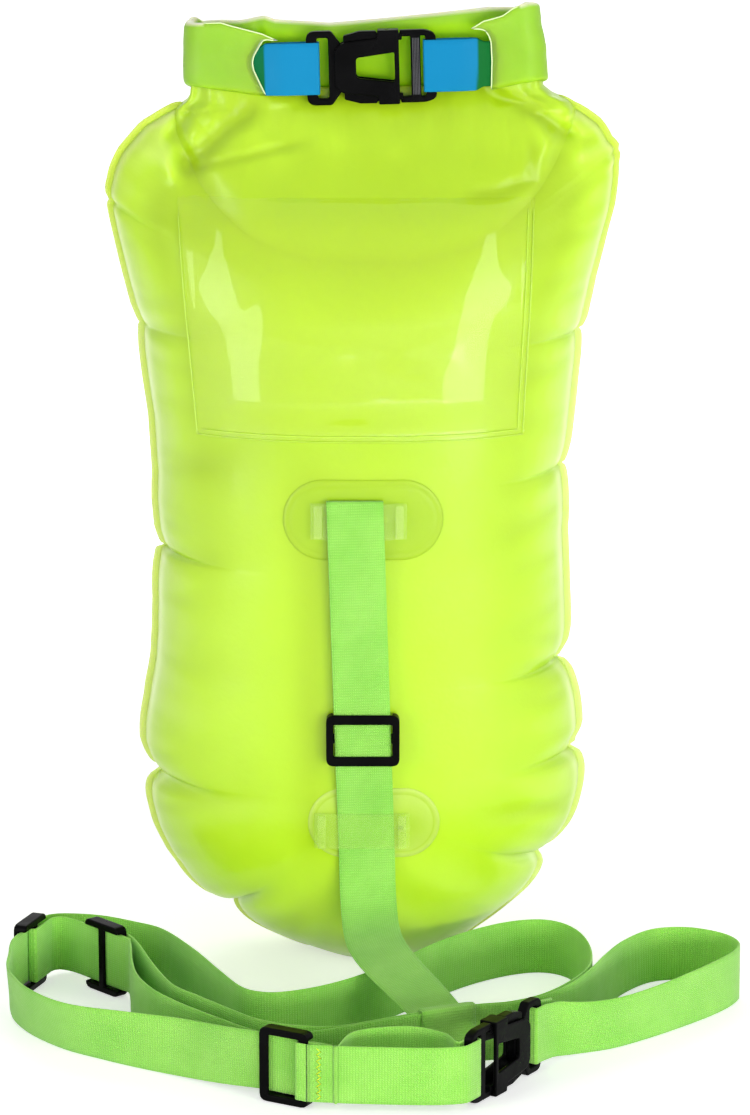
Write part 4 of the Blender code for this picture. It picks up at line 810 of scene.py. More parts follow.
def neck_film(x, z, s, fade, fold, over, calm, width, side):
    """Distance of the film from the seam's plane: the taut film or the crown, with gathers and folds."""
    round_end = (1 - abs(s) ** 6) ** 0.5
    free = float(ease(z, 0.4620, 0.4700))
    edge = (1 - float(ease(abs(s), 0.72, 0.99))) * (1 - free) + round_end * free
    film = calm + (over + math.sqrt(over * over + width * width)) / 2
    gather = 0.0011 * noise.noise(Vector((x * 95, side * 5.0, z * 12)))
    gather += 0.0006 * noise.noise(Vector((x * 210 + z * 40, side * 2.0, z * 20)))
    film += (gather + 0.0010) * float(ease(fade, 0.35, 0.85)) * edge
    film += fold * (1 - 0.5 * fade**4) * (round_end if free > 0.5 else 1.0)
    # the foot and the low side edges sink just under the body's film
    sunk = max(float(ease(-fade, -0.14, -0.04)), float(ease(abs(s), 0.93, 0.98)) * (1 - free))
    return film - 0.00018 * sunk


def make_neck():
    """The bag's film between the collar and the body: out of the roll and smoothly onto the crown."""
    columns, rows = NECK_COLUMNS, NECK_ROWS
    ends = np.linspace(-math.pi / 2, math.pi / 2, columns + 1)
    across = np.sin(ends) * 0.35 + np.linspace(-1, 1, columns + 1) * 0.65
    points = neck_grid(across)
    rise = np.clip((points[:, 1] - SPINE_HIGH) / (HEIGHT - SPINE_HIGH), 0, 1)
    bulge = np.sqrt(np.maximum(0.0, 1 - rise**CROWN_POWER))
    verts, tones = [], []
    for side, film_tree, folds in ((-1, FRONT, FRONT_FOLDS), (1, BACK, ())):
        fold, pale = fold_field(points, folds)
        found = []
        for x, z in points:
            hit = film_tree.ray_cast(Vector((x, side * 0.3, z)), Vector((0, -side, 0)))[0]
            found.append(abs(hit.y) if hit is not None else 0.0)
        # the body's film below, without its folds
        calm = np.array(found) - fold * np.minimum(1.0, bulge * 2.5)
        grid, face = points.reshape(columns + 1, rows + 1, 2), calm.reshape(columns + 1, rows + 1)
        drop, start, slope, bend, best = neck_profile(across, grid, face, side)
        lines = []
        for n, s in enumerate(across):
            line = []
            for k in range(rows + 1):
                i = n * (rows + 1) + k
                x, z = points[i]
                fade = 1 - k / rows
                over = start[n] + slope[n] * drop[n, k] - calm[i]
                if over > 0:
                    over *= (1 - float(ease(k, best[n], best[n] + 8))) * float(ease(fade, 0.02, 0.16))
                width = 0.030 * bend[n] * float(ease(fade, 0.03, 0.40))
                film = neck_film(x, z, s, fade, fold[i], over, calm[i], width, side)
                # pale carries the folds' painted light and shade
                line.append((x, side * film, z, neck_tone(x, z, fade, side) + pale[i]))
            # the lower cap lies inside, clear of the folds' dimples
            x, y, z, tone = line[-1]
            line.append((x, y * 0.5, z - 0.002, tone))
            lines.append(line)
        for line in lines[::-side]:
            verts += [point[:3] for point in line]
            tones += [point[3] for point in line]
    size = rows + 2
    count = len(verts) // size
    faces = []
    for k in range(count):
        a, b = k * size, (k + 1) % count * size
        faces += [(a + r, b + r, b + r + 1, a + r + 1) for r in range(rows + 1)]
    faces.append(tuple(k * size for k in range(count))[::-1])
    faces.append(tuple(k * size + rows + 1 for k in range(count)))
    return new_object("neck_film", verts, faces, AIR, tones=tones)


FRONT_FILMS.append(surface(make_neck()))

# Straps


def smooth_route(points, step):
    """Even steps along a smooth curve through a route's points, kept in step with any extra values."""
    rows = np.array(points, float)
    after = np.vstack([rows[0] * 2 - rows[1], rows, rows[-1] * 2 - rows[-2]])
    fine = []
    for i in range(1, len(after) - 2):
        a, b, c, d = after[i - 1:i + 3]
        for t in np.arange(12) / 12:
            square, cube = a * 2 - b * 5 + c * 4 - d, b * 3 - a - c * 3 + d
            fine.append((b * 2 + (c - a) * t + square * t * t + cube * t**3) / 2)
    fine.append(rows[-1])
    fine = np.array(fine)
    run = np.concatenate([[0.0], np.cumsum(np.linalg.norm(fine[1:, :3] - fine[:-1, :3], axis=1))])
    goals = np.linspace(0.0, run[-1], max(3, round(run[-1] / step) + 1))
    return np.stack([np.interp(goals, run, fine[:, k]) for k in range(fine.shape[1])], 1)


def strap(name, middles, acrosses, material=WEB, width=WEB_WIDTH, thick=WEB_THICK, body="float", replaced=(),
          wavy=0.0):
    """A flat strip with firm rounded edges along middles. Returns the piece and its frames."""
    middles = [Vector(m) for m in middles]
    last = len(middles) - 1
    runs = [(middles[min(i + 1, last)] - middles[max(i - 1, 0)]).normalized() for i in range(last + 1)]
    sides = [(Vector(a) - r * Vector(a).dot(r)).normalized() for a, r in zip(acrosses, runs)]
    faces_out = [r.cross(s) for r, s in zip(runs, sides)]
    along = [0.0]
    for a, b in zip(middles, middles[1:]):
        along.append(along[-1] + (b - a).length)
    half = width / 2
    shares = np.linspace(-1, 1, 9)
    profile = np.sign(shares) * np.abs(shares) ** 0.8 * (half - 0.0004)
    outline = [(x, thick / 2) for x in profile] + [(half, thick * 0.22), (half, -thick * 0.22)]
    outline += [(x, -thick / 2) for x in profile[::-1]] + [(-half, -thick * 0.22), (-half, thick * 0.22)]
    count = len(outline)
    verts, maps = [], []
    for i, (m, s, f) in enumerate(zip(middles, sides, faces_out)):
        for x, y in outline:
            wave = wavy * noise.noise(m * 45 + s * x * 40)
            verts.append(m + s * x + f * (y + wave))
            maps.append((along[i], x))
    faces = [face for i in range(last) for face in band_faces(i * count, (i + 1) * count, count)]
    faces.append(tuple(reversed(range(count))))
    faces.append(tuple(range(last * count, (last + 1) * count)))
    piece = new_object(name, verts, faces, material, body, replaced, maps=maps)
    frames = {"middles": middles, "sides": sides, "faces": faces_out, "along": along, "thick": thick}
    return piece, frames


def at_strip(frames, along, across, lift):
    """A point on a strip: metres along and across it, lifted off its face on either side."""
    i = int(np.clip(np.searchsorted(frames["along"], along) - 1, 0, len(frames["along"]) - 2))
    span = frames["along"][i + 1] - frames["along"][i]
    t = 0.0 if span <= 0 else (along - frames["along"][i]) / span
    m = frames["middles"][i].lerp(frames["middles"][i + 1], t)
    s = frames["sides"][i].lerp(frames["sides"][i + 1], t).normalized()
    f = frames["faces"][i].lerp(frames["faces"][i + 1], t).normalized()
    way = 1 if lift > 0 else -1
    return m + s * across + f * (way * frames["thick"] / 2 + lift)


def thread(name, points, radius=0.00032, material=THREAD, body="float", slot=None):
    """A sewing thread or a bead as one thin round tube."""
    points = [Vector(p) for p in points]
    last = len(points) - 1
    verts = []
    for i, p in enumerate(points):
        run = (points[min(i + 1, last)] - points[max(i - 1, 0)]).normalized()
        side = run.orthogonal().normalized()
        up = run.cross(side)
        size = radius * (0.4 if i in (0, last) else 1.0)
        turns = [math.pi * k / 3 for k in range(6)]
        verts += [p + (side * math.cos(a) + up * math.sin(a)) * size for a in turns]
    faces = [face for i in range(last) for face in band_faces(i * 6, i * 6 + 6, 6)]
    faces += [tuple(reversed(range(6))), tuple(range(last * 6, last * 6 + 6))]
    tones = [0.5] * len(verts) if slot else None
    return new_object(name, verts, faces, material, body, tones=tones)


def zigzag(name, frames, along, face):
    """A row of zigzag stitching across the end of the strip that rides with the front slider."""
    amount, pitch, span = 0.0011, 0.0016, 0.0268
    points = []
    count = int(span / pitch)
    for k in range(count + 1):
        across = -span / 2 + span * k / count
        shift = amount * (1 if k % 2 else -1)
        points.append(at_strip(frames, along + shift, across, face * 0.00022))
        if k < count:
            middle = -span / 2 + span * (k + 0.5) / count
            points.append(at_strip(frames, along, middle, face * 0.00034))
    return thread(name, points, body="front_adjuster")


def standing(route, step=0.003):
    """Middles and across directions of a strip that stands on its lower edge along a route."""
    rows = smooth_route(route, step)
    feet = rows[:, :3]
    middles, acrosses = [], []
    last = len(rows) - 1
    for i, row in enumerate(rows):
        run = feet[min(i + 1, last)] - feet[max(i - 1, 0)]
        right = Vector((run[1], -run[0], 0.0)).normalized()
        lean = row[3]
        up = Vector((0, 0, math.sqrt(WEB_WIDTH**2 - lean**2))) + right * lean
        acrosses.append(up.normalized())
        middles.append(Vector(row[:3]) + up / 2 + Vector((0, 0, abs(lean) / WEB_WIDTH * WEB_THICK / 2)))
    return middles, acrosses


def edge_turn(edge, side, near, far, reach, steps=7):
    """Points round the edge of a bar, from its near face to its far face."""
    way = 1 if far > near else -1
    quarter = [math.pi / 2 * k / steps for k in range(steps + 1)]
    found = [(edge + side * reach * math.sin(a), near - way * reach * math.cos(a)) for a in quarter]
    found += [(edge + side * reach * math.cos(a), far + way * reach * math.sin(a)) for a in quarter]
    return found


# Routes on the floor: x, y and height of a strip's lower edge, and how far it leans
BELT_ROUTE = (
    (-0.02765, -0.26098, 0.0045, 0.0),
    (-0.0373, -0.2555, 0.0045, 0.0),
    (-0.0512, -0.2476, 0.0045, 0.0),
    (-0.0710, -0.2350, 0.0026, 0.002),
    (-0.0930, -0.2190, 0.0008, 0.003),
    (-0.1170, -0.2025, 0.0, -0.002),
    (-0.1383, -0.1880, 0.0, -0.007),
    (-0.1535, -0.1762, 0.0, -0.008),
    (-0.1680, -0.1595, 0.0, -0.007),
    (-0.1778, -0.1435, 0.0, -0.005),
    (-0.1843, -0.1275, 0.0004, -0.003),
    (-0.1872, -0.1120, 0.0022, 0.0),
    (-0.1870, -0.0990, 0.0040, 0.0),
    (-0.18498, -0.0898, 0.0045, 0.0),
    (-0.1797, -0.0747, 0.0045, 0.0),
    (-0.1744, -0.0596, 0.0045, 0.0),
    (-0.1700, -0.0520, 0.0040, 0.0),
    (-0.1605, -0.0462, 0.0028, 0.0),
    (-0.1430, -0.0445, 0.0012, 0.0),
    (-0.1244, -0.0515, 0.0, 0.0),
    (-0.1078, -0.0655, 0.0, 0.0),
    (-0.0899, -0.1000, 0.0, 0.0),
    (-0.0755, -0.1350, 0.0, 0.0),
    (-0.0635, -0.1620, 0.0, 0.0),
    (-0.0535, -0.1710, 0.0, 0.0),
    (-0.0415, -0.1716, 0.0, 0.0),
    (-0.0225, -0.1625, 0.0, 0.0),
    (-0.0028, -0.1455, 0.0, 0.0),
    (0.0192, -0.1195, 0.0, -0.001),
    (0.0408, -0.0900, 0.0, -0.002),
    (0.0602, -0.0685, 0.0, -0.002),
    (0.0798, -0.0540, 0.0, -0.002),
    (0.0966, -0.0490, 0.0, -0.001),
    (0.1095, -0.0560, 0.0, 0.0),
    (0.1180, -0.0745, 0.0, 0.0),
    (0.1215, -0.1020, 0.0, 0.0),
    (0.1190, -0.1290, 0.0, 0.0),
    (0.1080, -0.1540, 0.0, 0.0),
    (0.0930, -0.1755, 0.0002, 0.0),
    (0.0765, -0.1890, 0.0008, 0.0),
    (0.0600, -0.1961, 0.0017, 0.0),
    (0.0430, -0.2034, 0.0020, 0.0),
    (0.0250, -0.2112, 0.0017, 0.0),
    (0.0062, -0.2190, 0.0008, 0.0),
    (-0.0140, -0.2262, 0.0, 0.0),
    (-0.0340, -0.2242, 0.0, 0.0),
    (-0.0466, -0.2190, 0.0, 0.0),
    (-0.0570, -0.2110, 0.0, 0.0),
    (-0.0715, -0.1940, 0.0, 0.0),
    (-0.0860, -0.1760, 0.0, 0.0),
    (-0.0977, -0.1610, 0.0, 0.0),
    (-0.1062, -0.1400, 0.0004, 0.0),
    (-0.1128, -0.1220, 0.0020, 0.0),
    (-0.1186, -0.1050, 0.0040, 0.0),
    (-0.1224, -0.0945, 0.0045, 0.0),
)
TAIL_ROUTE = (
    (0.0985, -0.1972, 0.0036, 0.002),
    (0.1125, -0.1865, 0.0016, 0.006),
    (0.1316, -0.1728, 0.0, 0.006),
    (0.1574, -0.1505, 0.0, 0.004),
    (0.1842, -0.1222, 0.0, 0.001),
    (0.1985, -0.1010, 0.0, 0.0),
    (0.2010, -0.0860, 0.0, 0.0),
    (0.1930, -0.0715, 0.0, 0.0),
    (0.1753, -0.0618, 0.0, 0.0),
    (0.1560, -0.0655, 0.0, 0.0),
    (0.1400, -0.0850, 0.0, 0.0),
    (0.1290, -0.1090, 0.0, 0.0),
    (0.1210, -0.1305, 0.0, 0.0),
    (0.1097, -0.1551, 0.0, 0.0),
    (0.0944, -0.1771, 0.0002, 0.0),
    (0.0774, -0.1911, 0.0008, 0.0),
    (0.0606, -0.1983, 0.0017, 0.0),
    (0.0437, -0.2056, 0.0020, 0.0),
    (0.0257, -0.2134, 0.0017, 0.0),
    (0.0068, -0.2212, 0.0008, 0.0),
    (-0.0145, -0.2295, 0.0, 0.0),
    (-0.0330, -0.2365, 0.0, 0.0),
    (-0.0480, -0.2360, 0.0, 0.0),
    (-0.0600, -0.2270, 0.0, 0.0),
    (-0.0720, -0.2140, 0.0, 0.0),
    (-0.0845, -0.2000, 0.0, 0.0),
    (-0.0960, -0.1860, 0.0, 0.0),
    (-0.1085, -0.1670, 0.0, 0.0),
    (-0.1180, -0.1440, 0.0004, 0.0),
    (-0.1218, -0.1240, 0.0020, 0.0),
    (-0.1230, -0.1090, 0.0040, 0.0),
    (-0.1246, -0.0973, 0.0045, 0.0),
    (-0.1292, -0.0920, 0.0045, 0.0),
    (-0.1385, -0.0815, 0.0045, 0.0),
    (-0.1478, -0.0710, 0.0045, 0.0),
    (-0.1548, -0.0632, 0.0045, 0.0),
    (-0.1612, -0.0582, 0.0045, 0.0),
    (-0.1660, -0.0572, 0.0045, 0.0),
    (-0.1692, -0.0606, 0.0045, 0.0),
)
# The leash's free stretch: x, y and z of its middle, and its turn in degrees
TETHER_ROUTE = (
    (0.0024, -0.0768, 0.0690, 0.0),
    (0.0026, -0.0785, 0.0605, 0.0),
    (0.0030, -0.0825, 0.0525, 2.0),
    (0.0036, -0.0890, 0.0460, 4.0),
    (0.0045, -0.0990, 0.0415, 6.0),
    (0.0065, -0.1140, 0.0385, 8.0),
    (0.0105, -0.1310, 0.0370, 8.0),
    (0.0165, -0.1480, 0.0350, 6.0),
    (0.0240, -0.1640, 0.0322, 4.0),
    (0.0312, -0.1780, 0.0290, 2.0),
)
SLIDER_LENGTH, SLIDER_BAR, SLIDER_MIDDLE_BAR, SLIDER_BAR_THICK = 0.028, 0.0052, 0.0046, 0.0020
SLIDER_GAP = 2 * WEB_THICK + 3 * GAP
REACH = GAP + WEB_THICK / 2
HEM = 0.012
END_BAR, FRAME_HALF_THICK, BUCKLE_LENGTH = 0.0057, 0.0026, 0.0686
UP = Vector((0, 0, 1))


def strip_place(route, index, turn=0.0, layers=0.0):
    """Frame of a slider at one point of a route, turned and set off sideways."""
    before, here, after = (Vector(route[index + k][:3]) for k in (-1, 0, 1))
    run = (after - before).normalized()
    right = Vector((run.y, -run.x, 0.0))
    middle = here + Vector((0, 0, WEB_WIDTH / 2)) + right * layers
    return Matrix.Translation(middle) @ Matrix.Rotation(math.atan2(run.y, run.x) + turn, 4, "Z")


LAYER = (WEB_THICK + GAP) / 2
# Points of the routes where the sleeve lies
SLEEVE_ON_BELT, SLEEVE_ON_TAIL = 41, 17
FRONT_SLIDER = strip_place(BELT_ROUTE, 1, math.pi, -LAYER)
LEFT_SLIDER = strip_place(BELT_ROUTE, 14, math.pi, LAYER)
INNER_SLIDER = strip_place(TAIL_ROUTE, 33, 0.0, LAYER)
WAIST = Matrix.Translation((0.0895, -0.2045, 0.0196)) @ Matrix.Rotation(math.radians(237.6), 4, "Z")
TILT = Matrix.Rotation(math.radians(-1.5), 4, "Y")
COLLAR = Matrix.Translation((0, 0, 0.4768)) @ TILT


def placed(place, plan):
    return [place @ Vector((x, y, 0.0)) for x, y in plan]


def sewn_round_outer(side):
    """A hem sewn round a slider's outer bar."""
    edge = SLIDER_LENGTH / 2 - SLIDER_BAR
    face = SLIDER_GAP / 2
    out = face + SLIDER_BAR_THICK
    turn = edge_turn(side * edge, -side, -out, -face, REACH)
    end = SLIDER_LENGTH / 2
    return [(side * end, -out - REACH)] + turn + [(side * (end + HEM / 2), REACH - face)]


def sewn_round_middle():
    """A hem sewn round a slider's middle bar."""
    face = SLIDER_GAP / 2
    out = face + SLIDER_BAR_THICK
    turn = edge_turn(SLIDER_MIDDLE_BAR / 2, 1, out, face, REACH)
    return [(-SLIDER_LENGTH / 2, out + REACH)] + turn + [(-HEM / 2, face - REACH)]


def make_belt():
    """The belt's long strip: from the front slider round the loops to its sewn end at the inner slider."""
    middles, acrosses = standing(BELT_ROUTE)
    run = (middles[1] - middles[0]).normalized()
    room = SLIDER_LENGTH / 2 + 0.001
    lead = [middles[0] - run * room * k / 5 for k in range(5, 0, -1)]
    middles = lead + middles
    acrosses = [UP] * len(lead) + acrosses
    sewn = placed(INNER_SLIDER, sewn_round_outer(-1))
    middles += sewn
    acrosses += [UP] * len(sewn)
    belt, _ = strap("belt_long_strip", middles, acrosses, replaced=("belt_webbing",))


def make_tail():
    """The belt's tail: from the waist buckle's socket half to its sewn end at the left slider."""
    half = FRAME_HALF_THICK
    turn = edge_turn(END_BAR, 1, -half, half, REACH)
    hem = [(-HEM, WEB_THICK), (-GAP, -half - REACH)]
    start = placed(WAIST, hem + turn + [(0.0, half + REACH)])
    sewn = placed(LEFT_SLIDER, sewn_round_middle())
    route, acrosses = standing(TAIL_ROUTE)
    middles = start + route + sewn
    acrosses = [UP] * len(start) + acrosses + [UP] * len(sewn)
    tail, _ = strap("belt_tail_strip", middles, acrosses, replaced=("belt_tail_webbing",))


BUCKLE_WEB_FRONT = (
    (-0.0050, -0.2702), (0.0090, -0.2712), (0.0250, -0.2722), (0.0390, -0.2722), (0.0500, -0.2702),
)
BUCKLE_WEB_BACK = ((0.0420, -0.2505), (0.0270, -0.2400), (0.0100, -0.2410), (-0.0050, -0.2490))


def make_buckle_strip():
    """The short strip from the front slider through the plug half and back. Returns its frames."""
    near = list(reversed(placed(FRONT_SLIDER, sewn_round_outer(1))))
    half = FRAME_HALF_THICK
    turn = edge_turn(BUCKLE_LENGTH - END_BAR, -1, half, -half, REACH)
    wrap = [(BUCKLE_LENGTH + 0.004, half + REACH)] + turn + [(BUCKLE_LENGTH + 0.004, -half - REACH)]
    wrap = placed(WAIST, wrap)
    level = near[0].z
    bow = [Vector((x, y, level)) for x, y in BUCKLE_WEB_FRONT]
    slack = [Vector((x, y, level)) for x, y in BUCKLE_WEB_BACK]
    end, after = (Vector(row[:3]) + UP * WEB_WIDTH / 2 for row in BELT_ROUTE[:2])
    run = (after - end).normalized()
    threaded = [end - run * (SLIDER_LENGTH / 2 + 0.004), end - run * (SLIDER_LENGTH / 2 + 0.001 + GAP)]

    def eased(points):
        return [Vector(p) for p in smooth_route([tuple(p) for p in points], 0.003)]

    strap("sewn_end_front", near, [UP] * len(near), body="front_adjuster")
    first = eased([near[-2], near[-1], *bow, wrap[0], wrap[1]])
    second = eased([wrap[-2], wrap[-1], *slack, threaded[0], threaded[1]])
    keep = [p for p in first if p.x > near[-1].x + GAP and (p - wrap[1]).length > 0.003]
    back = [p for p in second if (p - wrap[-2]).length > 0.003 and (p - threaded[1]).length > 0.0015]
    middles = keep + wrap[1:-1] + back + threaded[1:]
    strip, frames = strap("buckle_strip", middles, [UP] * len(middles), body=None,
                          replaced=("buckle_webbing",))
    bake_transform(strip)
    return frames


def front_face(height):
    share = max(0.0, (SPINE_LOW - height) / SPINE_LOW)
    return -(FILM / 2 + GAP + float(crown(share, np.array([height]), FRONT_DEPTH)[0]))


PATCH_THICK = 0.0009
UPPER_LOOP_Z, LOWER_LOOP_Z, LOOP_HEIGHT, LOOP_THICK = 0.2584, 0.0893, 0.0195, 0.0022
LEASH_SLIDER_Z, LEASH_END_Z = 0.1404, 0.0770


def patch_face(height):
    return front_face(height) - GAP - PATCH_THICK


def leash_x(height):
    share = (UPPER_LOOP_Z - height) / (UPPER_LOOP_Z - LEASH_END_Z)
    return -0.0037 + (0.0022 + 0.0037) * share


SLIDER_PLANE = front_face(LEASH_SLIDER_Z) - (GAP + WEB_THICK + GAP + SLIDER_BAR_THICK) - SLIDER_GAP / 2


def between(points, step=0.004):
    """Fill a polyline's long straight runs, so that its strip can bend and shade smoothly."""
    found = [points[0]]
    for a, b in zip(points, points[1:]):
        length = math.dist(a, b)
        parts = max(1, int(length / step))
        found += [tuple(x + (y - x) * k / parts for x, y in zip(a, b)) for k in range(1, parts + 1)]
    return found


def belt_loop_place():
    """Middle, direction and half thickness of the two belt strips that the leash's sleeve goes round."""
    belt, tail = Vector(BELT_ROUTE[SLEEVE_ON_BELT][:3]), Vector(TAIL_ROUTE[SLEEVE_ON_TAIL][:3])
    before, after = (Vector(BELT_ROUTE[SLEEVE_ON_BELT + k][:3]) for k in (1, -1))
    run = (after - before).normalized()
    run.z = 0.0
    return (belt + tail) / 2, run.normalized(), (belt - tail).length / 2 + WEB_THICK / 2 + 0.0006


def free_stretch(end, above):
    """The leash below the lower loop: middles and across directions down to the belt."""
    start = end + (end - above).normalized() * GAP
    middle, run, room = belt_loop_place()
    back = Vector((-run.y, run.x, 0.0))
    face = middle + back * (room + WEB_THICK + GAP)
    face.z = 0.0262
    route = [(*start, 0.0)] + list(TETHER_ROUTE) + [(*tie, 0.0) for tie in (face + back * 0.011, face)]
    rows = smooth_route(route, 0.003)
    middles = [Vector(row[:3]) for row in rows]
    last = len(middles) - 1
    acrosses = []
    level = Vector((1, 0, 0))
    for n, row in enumerate(rows):
        way = (middles[min(n + 1, last)] - middles[max(n - 1, 0)]).normalized()
        share = n / last
        side = level.lerp(run, share * share)
        side = (side - way * side.dot(way)).normalized()
        acrosses.append(Matrix.Rotation(math.radians(row[3]), 3, way) @ side)
    return middles, acrosses


def make_leash():
    """The leash behind and before its slider, and its free stretch down to the belt."""
    z = LEASH_SLIDER_Z
    under = patch_face(UPPER_LOOP_Z) - REACH
    low, high = UPPER_LOOP_Z - LOOP_HEIGHT / 2, UPPER_LOOP_Z + LOOP_HEIGHT / 2
    inner = under - REACH
    outer = inner - LOOP_THICK
    behind = [(SLIDER_PLANE + y, z - x) for x, y in reversed(sewn_round_middle())]
    behind += [(under, z + SLIDER_LENGTH), (under, low), (under, UPPER_LOOP_Z)]
    front = SLIDER_PLANE - LAYER
    over = [(under, UPPER_LOOP_Z)] + [(y, top) for top, y in edge_turn(high, 1, inner, outer, REACH)]
    over += [(outer - REACH, low), (front, z + SLIDER_LENGTH), (front, z)]
    over.append((front, z - SLIDER_LENGTH / 2 - GAP))
    for height in (LOWER_LOOP_Z + LOOP_HEIGHT / 2, LOWER_LOOP_Z, LEASH_END_Z):
        over.append((patch_face(height) - REACH, height))
    across = Vector((1, 0, 0))
    rows = between(behind)
    middles = [Vector((leash_x(h), y, h)) for y, h in rows]
    back_strip, _ = strap("leash_back_strip", middles, [across] * len(rows), body=None)
    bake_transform(back_strip)
    rows = [Vector((leash_x(h), y, h)) for y, h in between(over)]
    free, turned = free_stretch(rows[-1], rows[-2])
    middles = rows + free[1:]
    strip, _ = strap("leash_strip", middles, [across] * len(rows) + turned[1:],
                     replaced=("leash_webbing", "leash_tether"))


def make_belt_loop():
    """The leash's sewn end: a flat loop that goes round both strips of the belt."""
    middle, run, room = belt_loop_place()
    back = Vector((-run.y, run.x, 0.0))
    low, high = GAP + WEB_THICK / 2, middle.z + WEB_WIDTH + GAP + WEB_THICK / 2
    out = room + WEB_THICK / 2
    corner = 0.0016
    plan = []
    side, top, foot = out - corner, high - corner, low + corner
    for cx, cz, start in ((side, top, 0), (-side, top, 90), (-side, foot, 180), (side, foot, 270)):
        for k in range(6):
            a = math.radians(start + 18 * k)
            plan.append((cx + corner * math.cos(a), cz + corner * math.sin(a)))
    plan = between(plan + plan[:1], 0.003)[:-1]
    base = Vector((middle.x, middle.y, 0.0))
    middles = [base + back * x + UP * z for x, z in plan]
    count = len(middles)
    verts, maps, along = [], [], 0.0
    width = np.linspace(-1, 1, 9) * (WEB_WIDTH / 2)
    for i, m in enumerate(middles):
        before, after = middles[i - 1], middles[(i + 1) % count]
        face = (after - before).normalized().cross(run)
        for side in (1, -1):
            for x in width[::side]:
                half = WEB_THICK / 2 * (0.5 if abs(abs(x) - WEB_WIDTH / 2) < 1e-6 else 1.0)
                verts.append(m + run * float(x) + face * half * side)
                maps.append((along, float(x)))
        along += (after - m).length
    size = 2 * len(width)
    faces = [face for i in range(count) for face in band_faces(i * size, (i + 1) % count * size, size)]
    new_object("leash_loop_sleeve", verts, faces, WEB, replaced=("leash_belt_loop",),
               maps=maps)


make_belt()
make_tail()
buckle_frames = make_buckle_strip()
make_leash()
make_belt_loop()

# Stitching
zigzag("stitch_front_adjuster", buckle_frames, 0.0060, 1)
zigzag("stitch_front_adjuster_behind", buckle_frames, 0.0060, -1)

# Rolled collar
LEFT_TOP = (
    (-0.0930, 0.5122), (-0.0884, 0.5135), (-0.0820, 0.5138), (-0.0744, 0.5140), (-0.0706, 0.5127),
    (-0.0530, 0.5081), (-0.0430, 0.5036),
)
LEFT_LOW = (
    (-0.0930, 0.4808), (-0.0858, 0.4796), (-0.0726, 0.4778), (-0.0620, 0.4763), (-0.0515, 0.4752),
    (-0.0430, 0.4760),
)
RIGHT_TOP = ((0.0560, 0.5100), (0.0637, 0.5148), (0.0750, 0.5177), (0.0812, 0.5211), (0.0900, 0.5246))
RIGHT_LOW = ((0.0560, 0.4775), (0.0681, 0.4784), (0.0752, 0.4798), (0.0831, 0.4816), (0.0960, 0.4836))
BAND_TOP = (
    (-0.0900, 0.5150), (-0.0880, 0.5162), (-0.0839, 0.5132), (-0.0754, 0.5138), (-0.0648, 0.5136),
    (-0.0521, 0.5161), (-0.0463, 0.5140), (-0.0172, 0.5122), (0.0092, 0.5145), (0.0357, 0.5171),
    (0.0669, 0.5206), (0.0824, 0.5205), (0.0900, 0.5215),
)
BAND_LOW = ((-0.0900, 0.4772), (0.0, 0.4768), (0.0900, 0.4796))
LEFT_END = (
    (0.4764, -0.0509), (0.4820, -0.0543), (0.4870, -0.0574), (0.4900, -0.0581), (0.4930, -0.0574),
    (0.4985, -0.0540), (0.5015, -0.0518), (0.5036, -0.0445),
)
RIGHT_END = (
    (0.4792, 0.0680), (0.4824, 0.0681), (0.4924, 0.0683), (0.5008, 0.0677), (0.5040, 0.0664),
    (0.5064, 0.0645), (0.5085, 0.0612), (0.5109, 0.0572),
)
COLLAR_SLANT = (
    (0.4800, 0.0013), (0.4876, 0.0005), (0.5000, 0.0), (0.5070, -0.0016), (0.5124, -0.0030),
    (0.5250, -0.0042),
)
ROLL_LEFT, ROLL_RIGHT, ROLL_TURN, FLAP_Y = 0.0820, 0.0856, 0.008, -0.016


COLLAR_STEPS = ((0, 1, 26), (1, 2, 22), (2, 3, 90), (3, 4, 22), (4, 5, 26))


def flap_point(q_share, h, inner, end_table, end_low, end_high, low_table, top_table):
    """Place on a flap's middle surface: q_share runs from its cut end, 0, to its fold, 1."""
    z0 = end_low + (end_high - end_low) * h
    x = look(end_table, z0) * (1 - q_share) + inner * q_share
    return x, FLAP_Y, look(low_table, x), look(top_table, x), (0.0, -1.0)


def turn_point(a, side, inner, share, low_table, top_table):
    """Place on the turn between a flap and the band behind: a is the angle from the flap, and the share of
    the band's own edges grows from 0 to 1."""
    x = side * (inner + ROLL_TURN * math.sin(a))
    y = -ROLL_TURN - ROLL_TURN * math.cos(a)
    low = look(low_table, x) * (1 - share) + look(BAND_LOW, x) * share
    high = look(top_table, x) * (1 - share) + look(BAND_TOP, x) * share
    return x, y, low, high, (side * math.sin(a), -math.cos(a))


def collar_point(q, h):
    """Place on the collar's middle surface: q runs 0 to 5 from the left flap's end round the back to the
    right flap's end, h from the lower edge to the upper edge."""
    if q <= 1:
        return flap_point(q, h, -ROLL_LEFT, LEFT_END, 0.4764, 0.5036, LEFT_LOW, LEFT_TOP)
    if q >= 4:
        return flap_point(5 - q, h, ROLL_RIGHT, RIGHT_END, 0.4792, 0.5109, RIGHT_LOW, RIGHT_TOP)
    if q < 2:
        return turn_point(math.pi * (q - 1), -1, ROLL_LEFT, ease(q - 1, 0.25, 0.9), LEFT_LOW, LEFT_TOP)
    if q > 3:
        return turn_point(math.pi * (4 - q), 1, ROLL_RIGHT, 1 - ease(q - 3, 0.1, 0.75), RIGHT_LOW, RIGHT_TOP)
    x = -ROLL_LEFT + (ROLL_LEFT + ROLL_RIGHT) * (q - 2)
    return x, 0.0, look(BAND_LOW, x), look(BAND_TOP, x), (0.0, 1.0)


